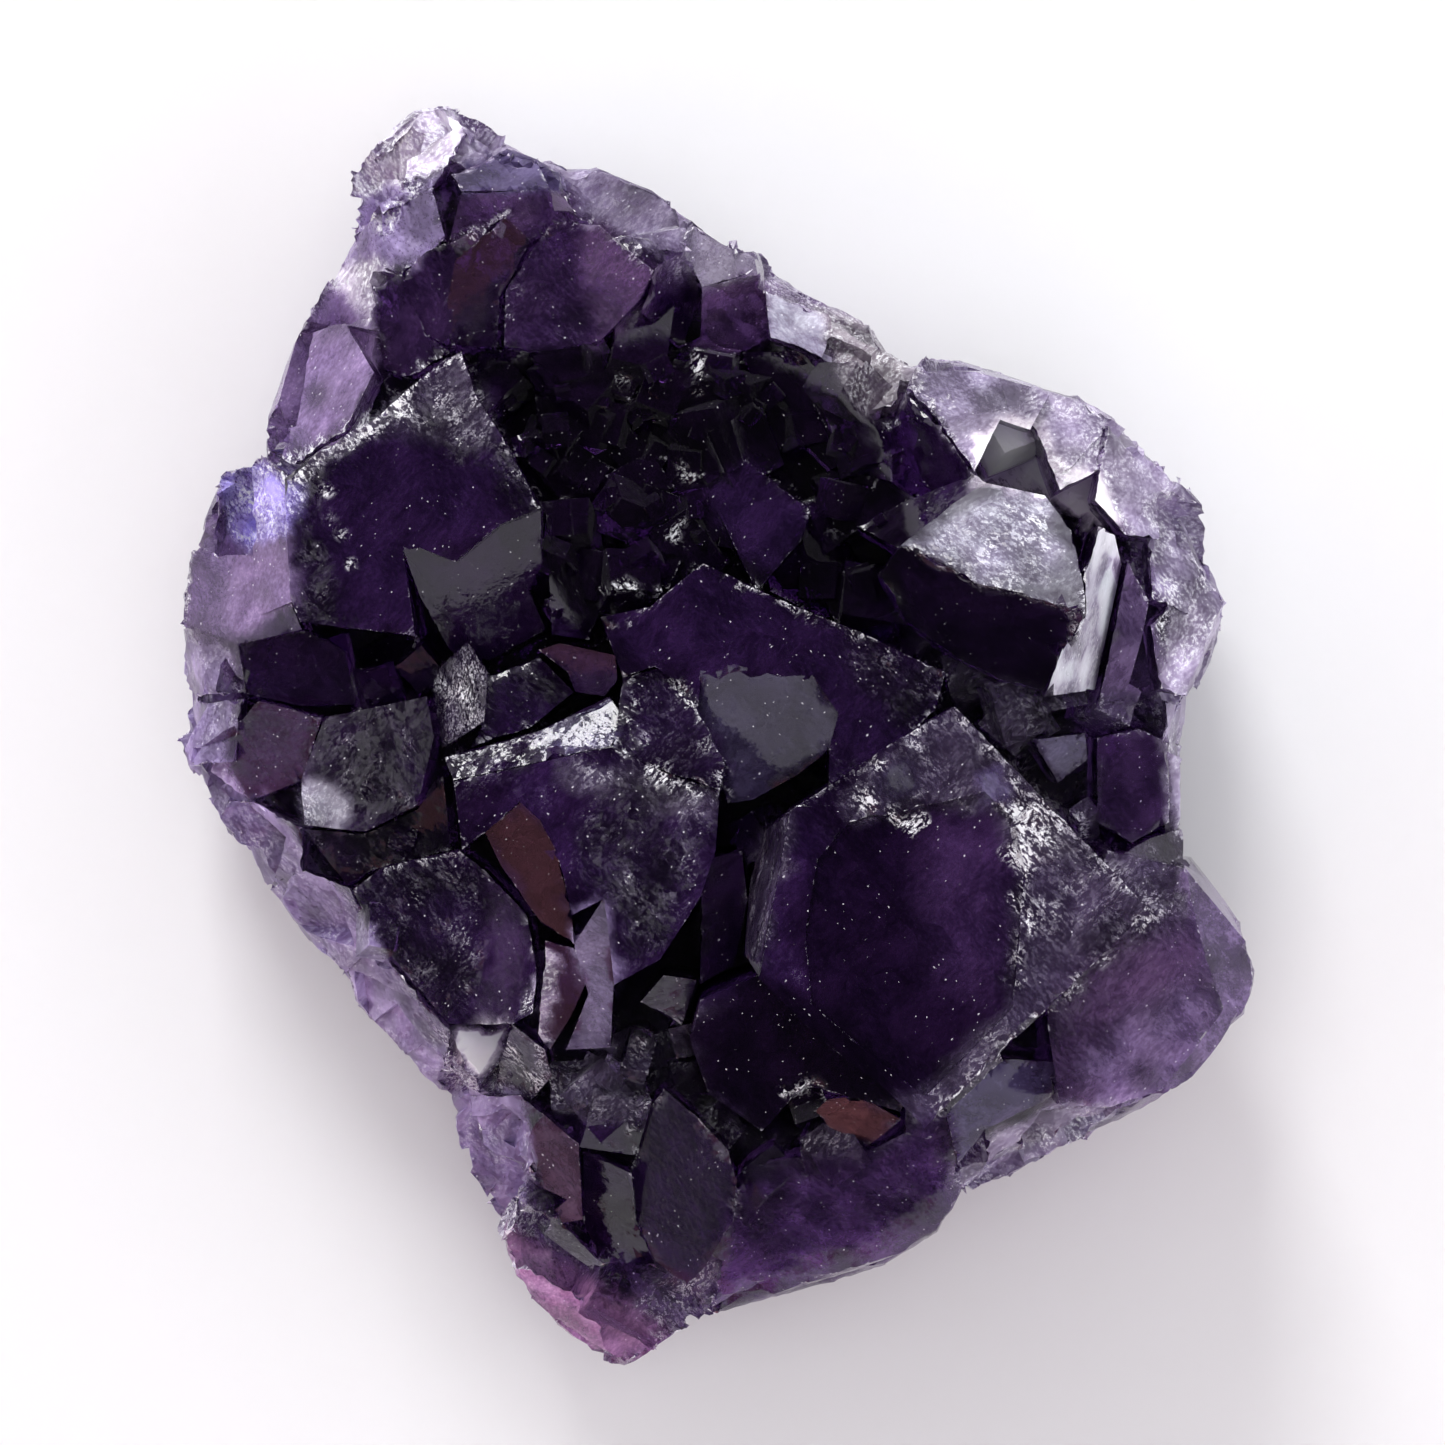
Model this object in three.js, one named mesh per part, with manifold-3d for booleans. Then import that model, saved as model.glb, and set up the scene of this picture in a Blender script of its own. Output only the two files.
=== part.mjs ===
import * as THREE from "three";
import { ConvexGeometry } from "three/addons/geometries/ConvexGeometry.js";
import { mergeVertices } from "three/addons/utils/BufferGeometryUtils.js";
import Module from "manifold-3d";

// Cluster of purple fluorite cubes grown together on a broken bed of the same mineral.
// One solid, in millimetres, +Z up, resting on its flat cut underside at z = 0.

// Plan grid: places are given as steps to the right and steps down from a corner of the plan.
// They are read along sight lines from EYE_HEIGHT straight above the rest face, so a high point
// and a low point with the same plan numbers lie on one sight line.
const EYE_HEIGHT = 260;
const STEP = 0.05;
const STEP_LEVEL = 10;
const PLAN_CENTRE = [722.5, 722.5];
const EYE_X = 0.43;
const EYE_Y = 0.7;

// Bed of massive fluorite under the crystals: levels in millimetres, insets in plan steps
const BED_SEED = 41;
const BED_CENTRE = [705, 740];
const WIDEST_LEVEL = 5;
const WIDEST_SPREAD = 0.6;
const REST_INSET = 74;
const REST_INSET_SPREAD = 34;
const FLANK_INSETS = [5, 12];
const FLANK_INSET_SPREAD = 3;
const FLANK_LEVEL_SPREAD = 0.5;
const RIM_INSET = 22;
const RIM_INSET_SPREAD = 8;
const RIM_DROP = 0.6;
const RIM_DROP_SPREAD = 0.4;
const FLOOR_INSET = 130;
const FLOOR_INSET_WAVE = 20;
const FLOOR_LEVEL = 9.2;
const FLOOR_WAVE = 0.25;

// Every block of the crystal faces reaches down to this level inside the bed
const ROOT_LEVEL = 4.2;

// Small crystals that repeat: edges and levels in millimetres, leans in degrees
const HOLLOW = {
  seed: 23, count: 18, centre: [715, 470], reach: [175, 110], level: 9.8, climb: 1.7, spread: 1.5,
  edge: [1.5, 3.4], width: [0.8, 1.2], lean: [14, 44],
};
const GAP = { seed: 77, count: 8, spread: 1, edge: [1.3, 2.6], width: [0.7, 1.2], lean: [10, 40] };
const RIM = {
  seed: 9, count: 5, inset: [34, 50], level: [-0.2, 0.5], edge: [1.6, 3.1], width: [0.7, 1.3],
  lean: [8, 30], swing: 45,
};

const wasm = await Module();
wasm.setup();

function seeded(seed) {
  let state = seed >>> 0;
  return () => {
    state = (state + 0x6d2b79f5) >>> 0;
    let mixed = state;
    mixed = Math.imul(mixed ^ (mixed >>> 15), mixed | 1);
    mixed ^= mixed + Math.imul(mixed ^ (mixed >>> 7), mixed | 61);
    return ((mixed ^ (mixed >>> 14)) >>> 0) / 4294967296;
  };
}

function between(random, [low, high]) {
  return low + random() * (high - low);
}

// Millimetres per plan step at a level above the rest face
function stepAt(level) {
  return (STEP * (EYE_HEIGHT - level)) / (EYE_HEIGHT - STEP_LEVEL);
}

function spot(across, down, level) {
  const step = stepAt(level);
  const x = (across - PLAN_CENTRE[0]) * step + EYE_X;
  const y = (PLAN_CENTRE[1] - down) * step + EYE_Y;
  return new THREE.Vector3(x, y, level);
}

// Outline of the widest part of the bed, clockwise from the upper left tip, in plan steps.
// The third number is the level of the broken rim above that stretch.
const OUTLINE = [
  [449, 102, 10.6], [469, 132, 11], [504, 137, 11.4], [534, 146, 11.6], [567, 167, 11.4],
  [603, 159, 10.8], [630, 167, 10.8], [660, 185, 10.8], [696, 210, 10.8], [732, 230, 10.4],
  [759, 248, 10.4], [780, 273, 10.6], [825, 300, 11], [855, 311, 11], [870, 321, 11.4],
  [891, 344, 11.8], [912, 364, 12.4], [935, 351, 12.6], [960, 356, 12.8], [1004, 366, 12.8],
  [1020, 381, 12.8], [1047, 386, 12.8], [1080, 392, 12.6], [1110, 410, 12.4], [1130, 423, 12.2],
  [1149, 454, 12.2], [1182, 475, 12], [1204, 497, 11.8], [1211, 528, 11.6], [1209, 558, 11.6],
  [1232, 602, 11.2], [1228, 634, 11], [1217, 656, 11], [1204, 684, 11], [1195, 705, 11],
  [1193, 738, 11], [1184, 765, 11.2], [1183, 825, 11.6], [1198, 861, 12.4], [1231, 891, 12.6],
  [1247, 919, 12.4], [1250, 948, 12], [1258, 973, 11.8], [1255, 996, 11.8], [1246, 1015, 11.8],
  [1220, 1047, 11.8], [1195, 1079, 11.6], [1163, 1104, 11.4], [1121, 1123, 11.2],
  [1086, 1152, 10.8], [1035, 1165, 10.6], [1010, 1181, 10.4], [978, 1193, 10.2],
  [955, 1214, 9.8], [939, 1235, 9.6], [917, 1252, 9.4], [887, 1269, 9.2], [835, 1286, 9.2],
  [783, 1297, 9], [746, 1309, 8.8], [703, 1321, 8.6], [685, 1332, 8.2], [666, 1352, 7.6],
  [651, 1359, 7.2], [624, 1369, 6.8], [605, 1364, 6.8], [562, 1333, 7], [529, 1303, 7.4],
  [515, 1278, 7.8], [504, 1253, 8.2], [489, 1221, 8.8], [469, 1187, 9.2], [454, 1156, 9.4],
  [452, 1132, 9.6], [443, 1101, 9.6], [405, 1062, 9.4], [356, 1013, 9.2], [341, 976, 9.2],
  [298, 939, 9.2], [267, 896, 9.2], [245, 860, 9.2], [227, 837, 9.4], [208, 808, 9.4],
  [185, 767, 9.4], [172, 737, 9.4], [186, 699, 9.6], [179, 682, 9.6], [175, 649, 9.8],
  [178, 594, 10], [183, 558, 10.4], [202, 529, 11], [201, 491, 11.6], [216, 471, 12],
  [261, 450, 12.2], [258, 423, 12], [271, 399, 11.8], [297, 326, 11.2], [314, 289, 10.8],
  [336, 265, 10.6], [340, 241, 10.6], [346, 214, 10.4], [349, 171, 10.2], [364, 144, 10.2],
  [379, 131, 10.2], [411, 105, 10.4],
];

// Crystal faces, each the flat upper end of a block that reaches down into the bed.
// A corner with a third number has that level; three such corners set the plane of the face.
const FACES = [
  // great crystal, lower right
  { name: "great crystal", flare: 0, face: [
    [955, 706, 25], [1151, 909, 25], [925, 1128, 24.6], [880, 1085], [820, 1040], [758, 978],
    [773, 900], [790, 810], [850, 771], [899, 738]] },
  { name: "great crystal left side", flare: 0, face: [
    [791, 810, 24.7], [774, 900], [759, 978, 24.6], [744, 955], [750, 880, 18], [765, 830]] },
  { name: "great crystal low corner", flare: 0.06, face: [
    [765, 972, 22.4], [850, 1020], [915, 1085, 22.2], [900, 1112], [860, 1100], [805, 1086],
    [762, 1132], [708, 1094, 20], [690, 1042], [700, 1000]] },
  { name: "great crystal rough foot", flare: 0.1, face: [
    [905, 1095, 19.4], [960, 1080], [1000, 1050, 20.2], [1004, 1062], [955, 1105],
    [930, 1140, 17.4], [905, 1135]] },
  // right slab
  { name: "right slab", flare: 0.02, face: [
    [1045, 1010, 19.8], [1108, 850, 19.6], [1187, 868], [1192, 900], [1207, 960],
    [1226, 1008, 17.9], [1163, 1092], [1105, 1110], [1060, 1108]] },
  { name: "right slab outer ledge", flare: 0.02, face: [
    [1184, 864, 18.4], [1231, 889, 16.8], [1246, 915], [1250, 948], [1256, 973], [1253, 996],
    [1243, 1015], [1218, 1047], [1193, 1077], [1161, 1101], [1121, 1119, 16.4], [1100, 1085]] },
  { name: "slab foot", flare: 0.05, face: [
    [1052, 1070, 16], [1110, 1108], [1086, 1146], [1035, 1160, 12], [985, 1180, 12.4],
    [985, 1128]] },
  { name: "grey face under the great crystal", flare: 0.05, face: [
    [1000, 1058, 19.4], [1053, 1062, 18], [1052, 1098], [985, 1130], [958, 1168, 15.2],
    [945, 1110]] },
  { name: "brown face under the great crystal", flare: 0.1, face: [
    [807, 1101, 18.2], [860, 1096], [902, 1120, 17.6], [868, 1147, 15.4], [828, 1127]] },
  // upper right crystal and its neighbours
  { name: "upper right crystal top", flare: 0, face: [
    [900, 545, 21.8], [950, 505], [985, 482, 19.4], [1045, 495], [1072, 530], [1085, 590],
    [1087, 613, 23.4], [1010, 592], [975, 583], [940, 562]] },
  { name: "upper right crystal front", flare: 0, face: [
    [900, 545, 21.8], [940, 562], [975, 583], [1010, 592], [1087, 613, 23.4], [1064, 650],
    [1048, 692], [1000, 680, 16.6], [950, 655], [905, 620], [880, 575]] },
  { name: "upper right crystal side", flare: 0, face: [
    [1100, 525, 19.6], [1115, 535], [1122, 565], [1110, 620, 14.8], [1095, 690],
    [1045, 697, 21.4], [1062, 650], [1087, 613], [1083, 570], [1092, 555]] },
  { name: "ledge behind the upper right crystal", flare: 0.05, face: [
    [856, 527, 14], [900, 503], [975, 473, 17], [990, 485], [950, 510], [898, 548, 16.6]] },
  { name: "pale rim crystal", flare: 0.04, face: [
    [914, 366, 14], [925, 353], [1000, 368, 13.8], [1050, 395], [1030, 430], [1000, 420],
    [975, 472, 17.4], [940, 425], [905, 387]] },
  { name: "purple face of the pale rim crystal", flare: 0, face: [
    [905, 387, 14.9], [940, 425], [975, 475, 17.5], [920, 498, 14], [885, 475], [880, 447],
    [893, 420]] },
  { name: "right rim block one", flare: 0.05, face: [
    [1000, 367, 13.4], [1047, 387], [1080, 393, 13], [1108, 411], [1100, 470], [1060, 490, 17],
    [1035, 430]] },
  { name: "right rim block two", flare: 0.05, face: [
    [1108, 411, 12.8], [1130, 424], [1149, 455, 12.6], [1180, 476], [1160, 540], [1125, 535],
    [1095, 500, 16]] },
  { name: "right rim block three", flare: 0.05, face: [
    [1180, 476, 12.4], [1202, 498], [1209, 528], [1207, 558, 12], [1190, 615], [1152, 600, 14.6],
    [1148, 545]] },
  { name: "right rim block four", flare: 0.05, face: [
    [1207, 560, 11.8], [1229, 602], [1225, 634, 11.6], [1214, 656], [1193, 700], [1160, 690],
    [1150, 625, 14.4]] },
  { name: "crystal right of the bright side", flare: 0.05, face: [
    [1128, 560, 16], [1150, 600, 15], [1142, 640], [1125, 700], [1098, 705, 15.2],
    [1112, 640]] },
  { name: "right middle crystal", flare: 0.03, face: [
    [1097, 738, 15.4], [1140, 728], [1170, 742, 13.6], [1170, 822], [1132, 843],
    [1097, 822, 15.6]] },
  { name: "right middle grey face", flare: 0.08, face: [
    [1032, 740, 17], [1086, 733], [1088, 760, 15.4], [1058, 783, 14.8]] },
  { name: "right rim strip", flare: 0.05, face: [
    [1165, 700, 12.4], [1194, 707, 11.6], [1191, 738], [1182, 765], [1181, 825, 11.8],
    [1165, 840]] },
  { name: "right rim heel", flare: 0.05, face: [
    [1150, 838, 14], [1182, 828, 12.6], [1196, 861], [1185, 870], [1120, 855, 15.4]] },
  // centre crystal
  { name: "centre crystal top", flare: 0, face: [
    [600, 617, 20], [650, 606], [680, 581], [703, 563, 21], [730, 575], [769, 594],
    [817, 615], [860, 631], [908, 655], [946, 672, 22.6], [936, 710], [880, 760], [828, 796],
    [829, 747], [838, 714], [812, 676], [780, 677], [734, 665], [701, 671], [699, 712],
    [678, 684], [655, 667], [622, 677]] },
  { name: "centre crystal grey face", flare: 0, face: [
    [700, 670, 20.7], [734, 664], [780, 676], [812, 675, 21.6], [839, 714], [830, 750],
    [798, 775], [753, 800], [726, 804, 18.6], [716, 762], [697, 706]] },
  { name: "centre crystal brown foot", flare: 0.05, face: [
    [538, 650, 18.6], [560, 643], [615, 655, 19.6], [618, 680], [604, 697, 18.2], [575, 692],
    [567, 672]] },
  { name: "dip left of the centre", flare: 0.05, face: [
    [488, 676, 17.4], [540, 657], [574, 692, 17.4], [530, 728], [470, 748, 18.4], [483, 723]] },
  // crystal left of the centre
  { name: "left centre crystal edge", flare: 0, face: [
    [444, 757, 19.8], [538, 731], [609, 696, 19.6], [619, 711], [612, 746, 20.9], [544, 761],
    [453, 781]] },
  { name: "left centre crystal back", flare: 0, face: [
    [612, 748, 21], [618, 711], [622, 677], [656, 668, 19.6], [680, 684], [700, 712],
    [727, 765, 22.2], [720, 790], [660, 770]] },
  { name: "left centre crystal top", flare: 0, face: [
    [453, 781, 20.6], [544, 761], [612, 746, 21.4], [660, 770], [720, 790], [716, 850],
    [700, 900], [660, 960], [614, 985, 22.4], [604, 899], [572, 915], [556, 850], [540, 820],
    [520, 802], [485, 833], [462, 850]] },
  { name: "left centre crystal brown face", flare: 0, face: [
    [485, 833, 20.2], [520, 802, 22], [540, 820], [556, 850], [572, 915], [574, 944, 19.8],
    [540, 923], [500, 865]] },
  { name: "left centre crystal low face", flare: 0, face: [
    [604, 897, 22], [614, 920], [614, 985], [611, 1048, 16.4], [566, 1050, 15.6], [588, 994],
    [573, 945]] },
  { name: "violet chip below the brown face", flare: 0.08, face: [
    [545, 940, 18.8], [574, 948], [590, 975, 18.4], [572, 1015], [550, 1050, 15.6],
    [536, 1035]] },
  { name: "small grey face", flare: 0.1, face: [
    [640, 1002, 18.6], [664, 975, 19.8], [697, 980], [682, 1026, 17.4]] },
  { name: "dark wall beside the great crystal", flare: 0.1, face: [
    [702, 860, 20.4], [742, 850], [748, 900, 18], [735, 965], [700, 985, 17.6]] },
  { name: "striped crystal", flare: 0, face: [
    [430, 676, 15], [468, 640, 18], [488, 673], [484, 723, 19.8], [442, 748]] },
  { name: "grey green crystal", flare: 0.02, face: [
    [324, 717, 15], [427, 696, 17], [434, 737], [418, 806], [365, 832, 15.8], [303, 826],
    [300, 781]] },
  { name: "violet ledge below the grey green crystal", flare: 0.05, face: [
    [300, 828, 12.6], [365, 834], [419, 808, 14.8], [442, 765], [452, 850], [385, 866],
    [347, 885, 12.4]] },
  // lower left crystal
  { name: "lower left crystal", flare: 0, face: [
    [352, 890], [383, 866, 16.4], [460, 850, 17.6], [487, 872], [527, 915], [538, 970],
    [533, 1013, 18], [512, 1025], [448, 1025], [376, 939]] },
  { name: "bright face below the lower left crystal", flare: 0.05, face: [
    [448, 1024, 11.4], [512, 1022, 11.6], [502, 1060], [480, 1087, 13.6], [464, 1072]] },
  { name: "striped block below the lower left crystal", flare: 0.05, face: [
    [512, 1024, 15.4], [545, 1050, 15.8], [552, 1076], [530, 1104, 12.4], [488, 1100],
    [500, 1060]] },
  // left crystal
  { name: "left crystal", flare: 0, face: [
    [283, 478, 18.4], [325, 445], [375, 418], [405, 390], [445, 358], [462, 351, 19.4],
    [476, 395], [505, 440], [530, 488], [541, 508], [500, 525], [455, 562], [420, 548],
    [403, 550], [416, 637, 20.8], [300, 622], [290, 600]] },
  { name: "left crystal grey face", flare: 0, face: [
    [403, 550, 20], [420, 548], [455, 562], [500, 525], [541, 508, 18.9], [542, 565],
    [529, 590], [546, 630, 15.4], [490, 661], [450, 651], [420, 597]] },
  { name: "left crystal west shelf", flare: 0.05, face: [
    [216, 474, 12.6], [262, 452], [288, 474, 16.6], [302, 540], [292, 602, 15.8], [250, 620],
    [203, 560], [204, 528]] },
  { name: "left flank block one", flare: 0.05, face: [
    [184, 560, 10.6], [203, 531], [260, 560, 14], [292, 604], [302, 630], [236, 645, 12.8],
    [180, 622]] },
  { name: "left flank block two", flare: 0.05, face: [
    [180, 622, 9.8], [238, 640, 12.6], [246, 692], [188, 699, 9.8], [177, 655]] },
  { name: "brown flat under the left crystal", flare: 0.05, face: [
    [238, 642, 12.4], [302, 628, 13.4], [345, 650], [356, 705], [300, 706, 12.6],
    [246, 694]] },
  { name: "left flank block three", flare: 0.05, face: [
    [188, 700, 8.8], [242, 698, 12.4], [232, 762], [190, 766], [175, 737, 8.8]] },
  { name: "violet flank crystal", flare: 0.04, face: [
    [222, 742, 11.4], [258, 700, 13.6], [322, 718], [302, 780, 13.2], [252, 802],
    [208, 775]] },
  { name: "lower left rim block one", flare: 0.05, face: [
    [205, 800, 8.8], [252, 802, 12.4], [302, 828], [302, 872, 11.8], [262, 889],
    [229, 838]] },
  { name: "lower left rim block two", flare: 0.05, face: [
    [264, 891, 8.8], [302, 870, 12], [350, 888], [376, 941, 12.6], [345, 976], [299, 936]] },
  { name: "lower left rim block three", flare: 0.05, face: [
    [345, 976, 8.8], [376, 941, 12.4], [422, 1002], [450, 1030, 12], [444, 1098],
    [406, 1060], [358, 1012]] },
  // upper left
  { name: "upper left rim block one", flare: 0.05, face: [
    [263, 450, 12.4], [273, 400], [299, 330, 11.6], [345, 322], [374, 372], [345, 432, 15.6],
    [292, 466]] },
  { name: "upper left rim block two", flare: 0.05, face: [
    [316, 289, 10.8], [342, 243, 10.6], [374, 290, 13], [380, 332], [345, 325],
    [300, 326]] },
  { name: "top left tip block", flare: 0.05, face: [
    [351, 171, 10.2], [381, 132], [412, 107], [448, 104, 10.4], [468, 133], [432, 190, 12.6],
    [382, 215]] },
  { name: "top left block", flare: 0.05, face: [
    [347, 214, 10.4], [382, 206], [432, 186, 12.8], [446, 240], [402, 274, 13],
    [342, 262]] },
  { name: "top grey face", flare: 0, face: [
    [450, 173, 13], [507, 147, 12], [560, 165], [566, 190, 13.8], [461, 192]] },
  { name: "top crystal front", flare: 0.03, face: [
    [461, 192, 13.9], [566, 190, 13.7], [582, 225], [520, 245, 13], [448, 244]] },
  { name: "top edge crystal brown face", flare: 0, face: [
    [455, 260], [505, 216, 17], [531, 240], [500, 300], [498, 347, 13.6], [450, 347],
    [447, 300, 15.4]] },
  { name: "top edge crystal black face", flare: 0, face: [
    [426, 251, 15.2], [470, 232], [505, 214, 17], [457, 262], [448, 300], [450, 347, 14],
    [424, 334], [402, 300], [404, 270]] },
  { name: "top left purple crystal", flare: 0.03, face: [
    [368, 290, 12.6], [402, 272], [426, 334, 14.6], [450, 352], [412, 378], [384, 370, 12.8],
    [378, 330]] },
  { name: "top middle crystal", flare: 0, face: [
    [557, 221, 17.2], [600, 225], [655, 270, 15.8], [640, 300], [600, 342], [540, 352],
    [504, 347, 14.6], [505, 290], [547, 228]] },
  { name: "top pale block", flare: 0.04, face: [
    [583, 170, 11.2], [605, 161], [660, 195], [692, 225, 12.4], [682, 246], [620, 236],
    [580, 220, 13.8]] },
  { name: "top right pale block", flare: 0.04, face: [
    [692, 222, 11.4], [757, 251, 10.6], [762, 271], [702, 287, 13], [684, 250]] },
  { name: "top right purple face", flare: 0.04, face: [
    [702, 287, 12.8], [762, 272, 12.2], [777, 336], [740, 352, 9.8], [700, 346]] },
  { name: "purple face right of the top middle crystal", flare: 0.04, face: [
    [655, 268, 15], [690, 246, 13.6], [701, 300], [682, 348, 11], [641, 312]] },
  { name: "white rim face", flare: 0.04, face: [
    [764, 289, 12.2], [846, 319, 12], [838, 366], [800, 347], [770, 337, 13.4]] },
  { name: "grey brown rim face", flare: 0.05, face: [
    [842, 322, 12], [905, 362, 12.8], [898, 404], [862, 414, 14], [838, 370]] },
  // bottom
  { name: "lens face", flare: 0.02, face: [
    [663, 1088, 15.2], [642, 1113], [632, 1174], [636, 1220], [654, 1260], [685, 1287, 12.8],
    [706, 1266], [734, 1220], [737, 1180, 16.4], [728, 1150], [700, 1119]] },
  { name: "lower left grey face", flare: 0.03, face: [
    [541, 1112, 14.4], [579, 1144], [583, 1220, 12.4], [562, 1224], [532, 1174],
    [526, 1140, 13]] },
  { name: "between the bottom faces", flare: 0.05, face: [
    [583, 1150, 13.4], [632, 1174, 14.4], [636, 1220], [654, 1262, 11.6], [600, 1262],
    [583, 1222]] },
  { name: "pale lower left corner", flare: 0.05, face: [
    [449, 1094, 10.4], [520, 1095, 13], [541, 1113], [527, 1140], [532, 1176],
    [500, 1205, 10.4], [472, 1185], [456, 1140]] },
  { name: "bottom violet body", flare: 0.03, face: [
    [494, 1222, 9.8], [532, 1176], [562, 1224, 12], [600, 1262], [654, 1264], [686, 1290, 11.2],
    [668, 1345], [600, 1312], [552, 1280], [508, 1250]] },
  { name: "bottom tip ledge", flare: 0.02, face: [
    [508, 1256, 8], [599, 1309, 8.2], [660, 1350], [626, 1363, 6.4], [606, 1358],
    [565, 1328], [532, 1300]] },
  { name: "bottom right body", flare: 0.03, face: [
    [737, 1190, 13.8], [770, 1160], [870, 1150, 15.4], [948, 1112], [957, 1168], [953, 1210],
    [937, 1232], [885, 1264, 11.2], [835, 1281], [746, 1303], [704, 1314], [707, 1268]] },
  // hollow
  { name: "hollow crystal face", flare: 0.06, face: [
    [704, 490, 12], [745, 459, 12.6], [811, 510], [801, 541], [756, 592, 16], [724, 525]] },
  { name: "hollow wall under the left crystal", flare: 0.06, face: [
    [545, 500, 14.4], [600, 510, 11.2], [612, 570], [590, 640, 14.6], [552, 635]] },
  { name: "hollow wall below the top crystals", flare: 0.06, face: [
    [476, 352, 13.6], [600, 345, 13], [680, 350], [660, 385, 10.2], [520, 402], [482, 392]] },
  { name: "hollow wall below the white rim face", flare: 0.06, face: [
    [742, 352, 11], [800, 350, 12.6], [862, 415], [878, 450], [830, 470, 11.6],
    [760, 400]] },
  { name: "hollow wall in front of the rim crystal", flare: 0.06, face: [
    [830, 470, 11.8], [884, 478], [918, 500, 14], [858, 530], [820, 560, 12.4]] },
];

// Flat cleavage breaks that take the roundness off the flanks, from place to place of the outline
const WEDGE_MARGIN = 0.3;
const WEDGE_SPLAY = 0.55;
const WEDGE_REACH = 9;
const FLANK_CUTS = [
  { from: [469, 112], to: [700, 210], level: 6.2, under: 36, above: 9 },
  { from: [700, 210], to: [915, 338], level: 5.6, under: 28, above: 7 },
  { from: [935, 351], to: [1100, 396], level: 6.8, under: 38, above: 8 },
  { from: [1100, 396], to: [1206, 492], level: 5.8, under: 31, above: 10 },
  { from: [1206, 492], to: [1233, 605], level: 6.4, under: 40, above: 6 },
  { from: [1233, 605], to: [1184, 740], level: 5.4, under: 30, above: 9 },
  { from: [1186, 740], to: [1183, 850], level: 6.6, under: 36, above: 5 },
  { from: [1186, 850], to: [1256, 940], level: 7, under: 34, above: 6 },
  { from: [1259, 940], to: [1250, 1015], level: 6, under: 42, above: 5 },
  { from: [1250, 1015], to: [1163, 1106], level: 6.8, under: 33, above: 6 },
  { from: [1163, 1106], to: [1000, 1186], level: 5.6, under: 38, above: 9 },
  { from: [1000, 1190], to: [900, 1264], level: 6.2, under: 30, above: 8 },
  { from: [900, 1266], to: [700, 1326], level: 5.4, under: 41, above: 12 },
  { from: [690, 1330], to: [626, 1370], level: 5, under: 30, above: 14 },
  { from: [606, 1366], to: [520, 1296], level: 5.2, under: 44, above: 16 },
  { from: [518, 1290], to: [456, 1160], level: 5.8, under: 33, above: 10 },
  { from: [452, 1150], to: [440, 1100], level: 6.4, under: 30, above: 8 },
  { from: [440, 1102], to: [338, 984], level: 5.6, under: 39, above: 9 },
  { from: [338, 984], to: [228, 840], level: 6.2, under: 32, above: 11 },
  { from: [228, 842], to: [171, 740], level: 5.4, under: 42, above: 9 },
  { from: [171, 740], to: [176, 640], level: 6, under: 31, above: 10 },
  { from: [175, 645], to: [186, 550], level: 6.6, under: 37, above: 7 },
  { from: [186, 550], to: [214, 466], level: 5.6, under: 30, above: 6 },
  { from: [214, 466], to: [262, 440], level: 6.2, under: 38, above: 8 },
  { from: [256, 425], to: [300, 318], level: 5.6, under: 34, above: 8 },
  { from: [298, 322], to: [340, 250], level: 6.4, under: 28, above: 7 },
  { from: [338, 262], to: [350, 166], level: 5.4, under: 36, above: 9 },
  { from: [350, 168], to: [412, 102], level: 6, under: 40, above: 12 },
  { from: [408, 102], to: [452, 101], level: 5.6, under: 32, above: 10 },
];

// Rounded sunk window in the top of the great crystal, and how deep it lies
const WINDOW_DEPTH = 0.3;
const WINDOW = [
  [905, 812], [985, 792], [1012, 820], [1024, 866], [1020, 912], [1012, 1008], [985, 1036],
  [925, 1096], [880, 1062], [812, 1004], [806, 930], [818, 860], [850, 822],
];

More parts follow.
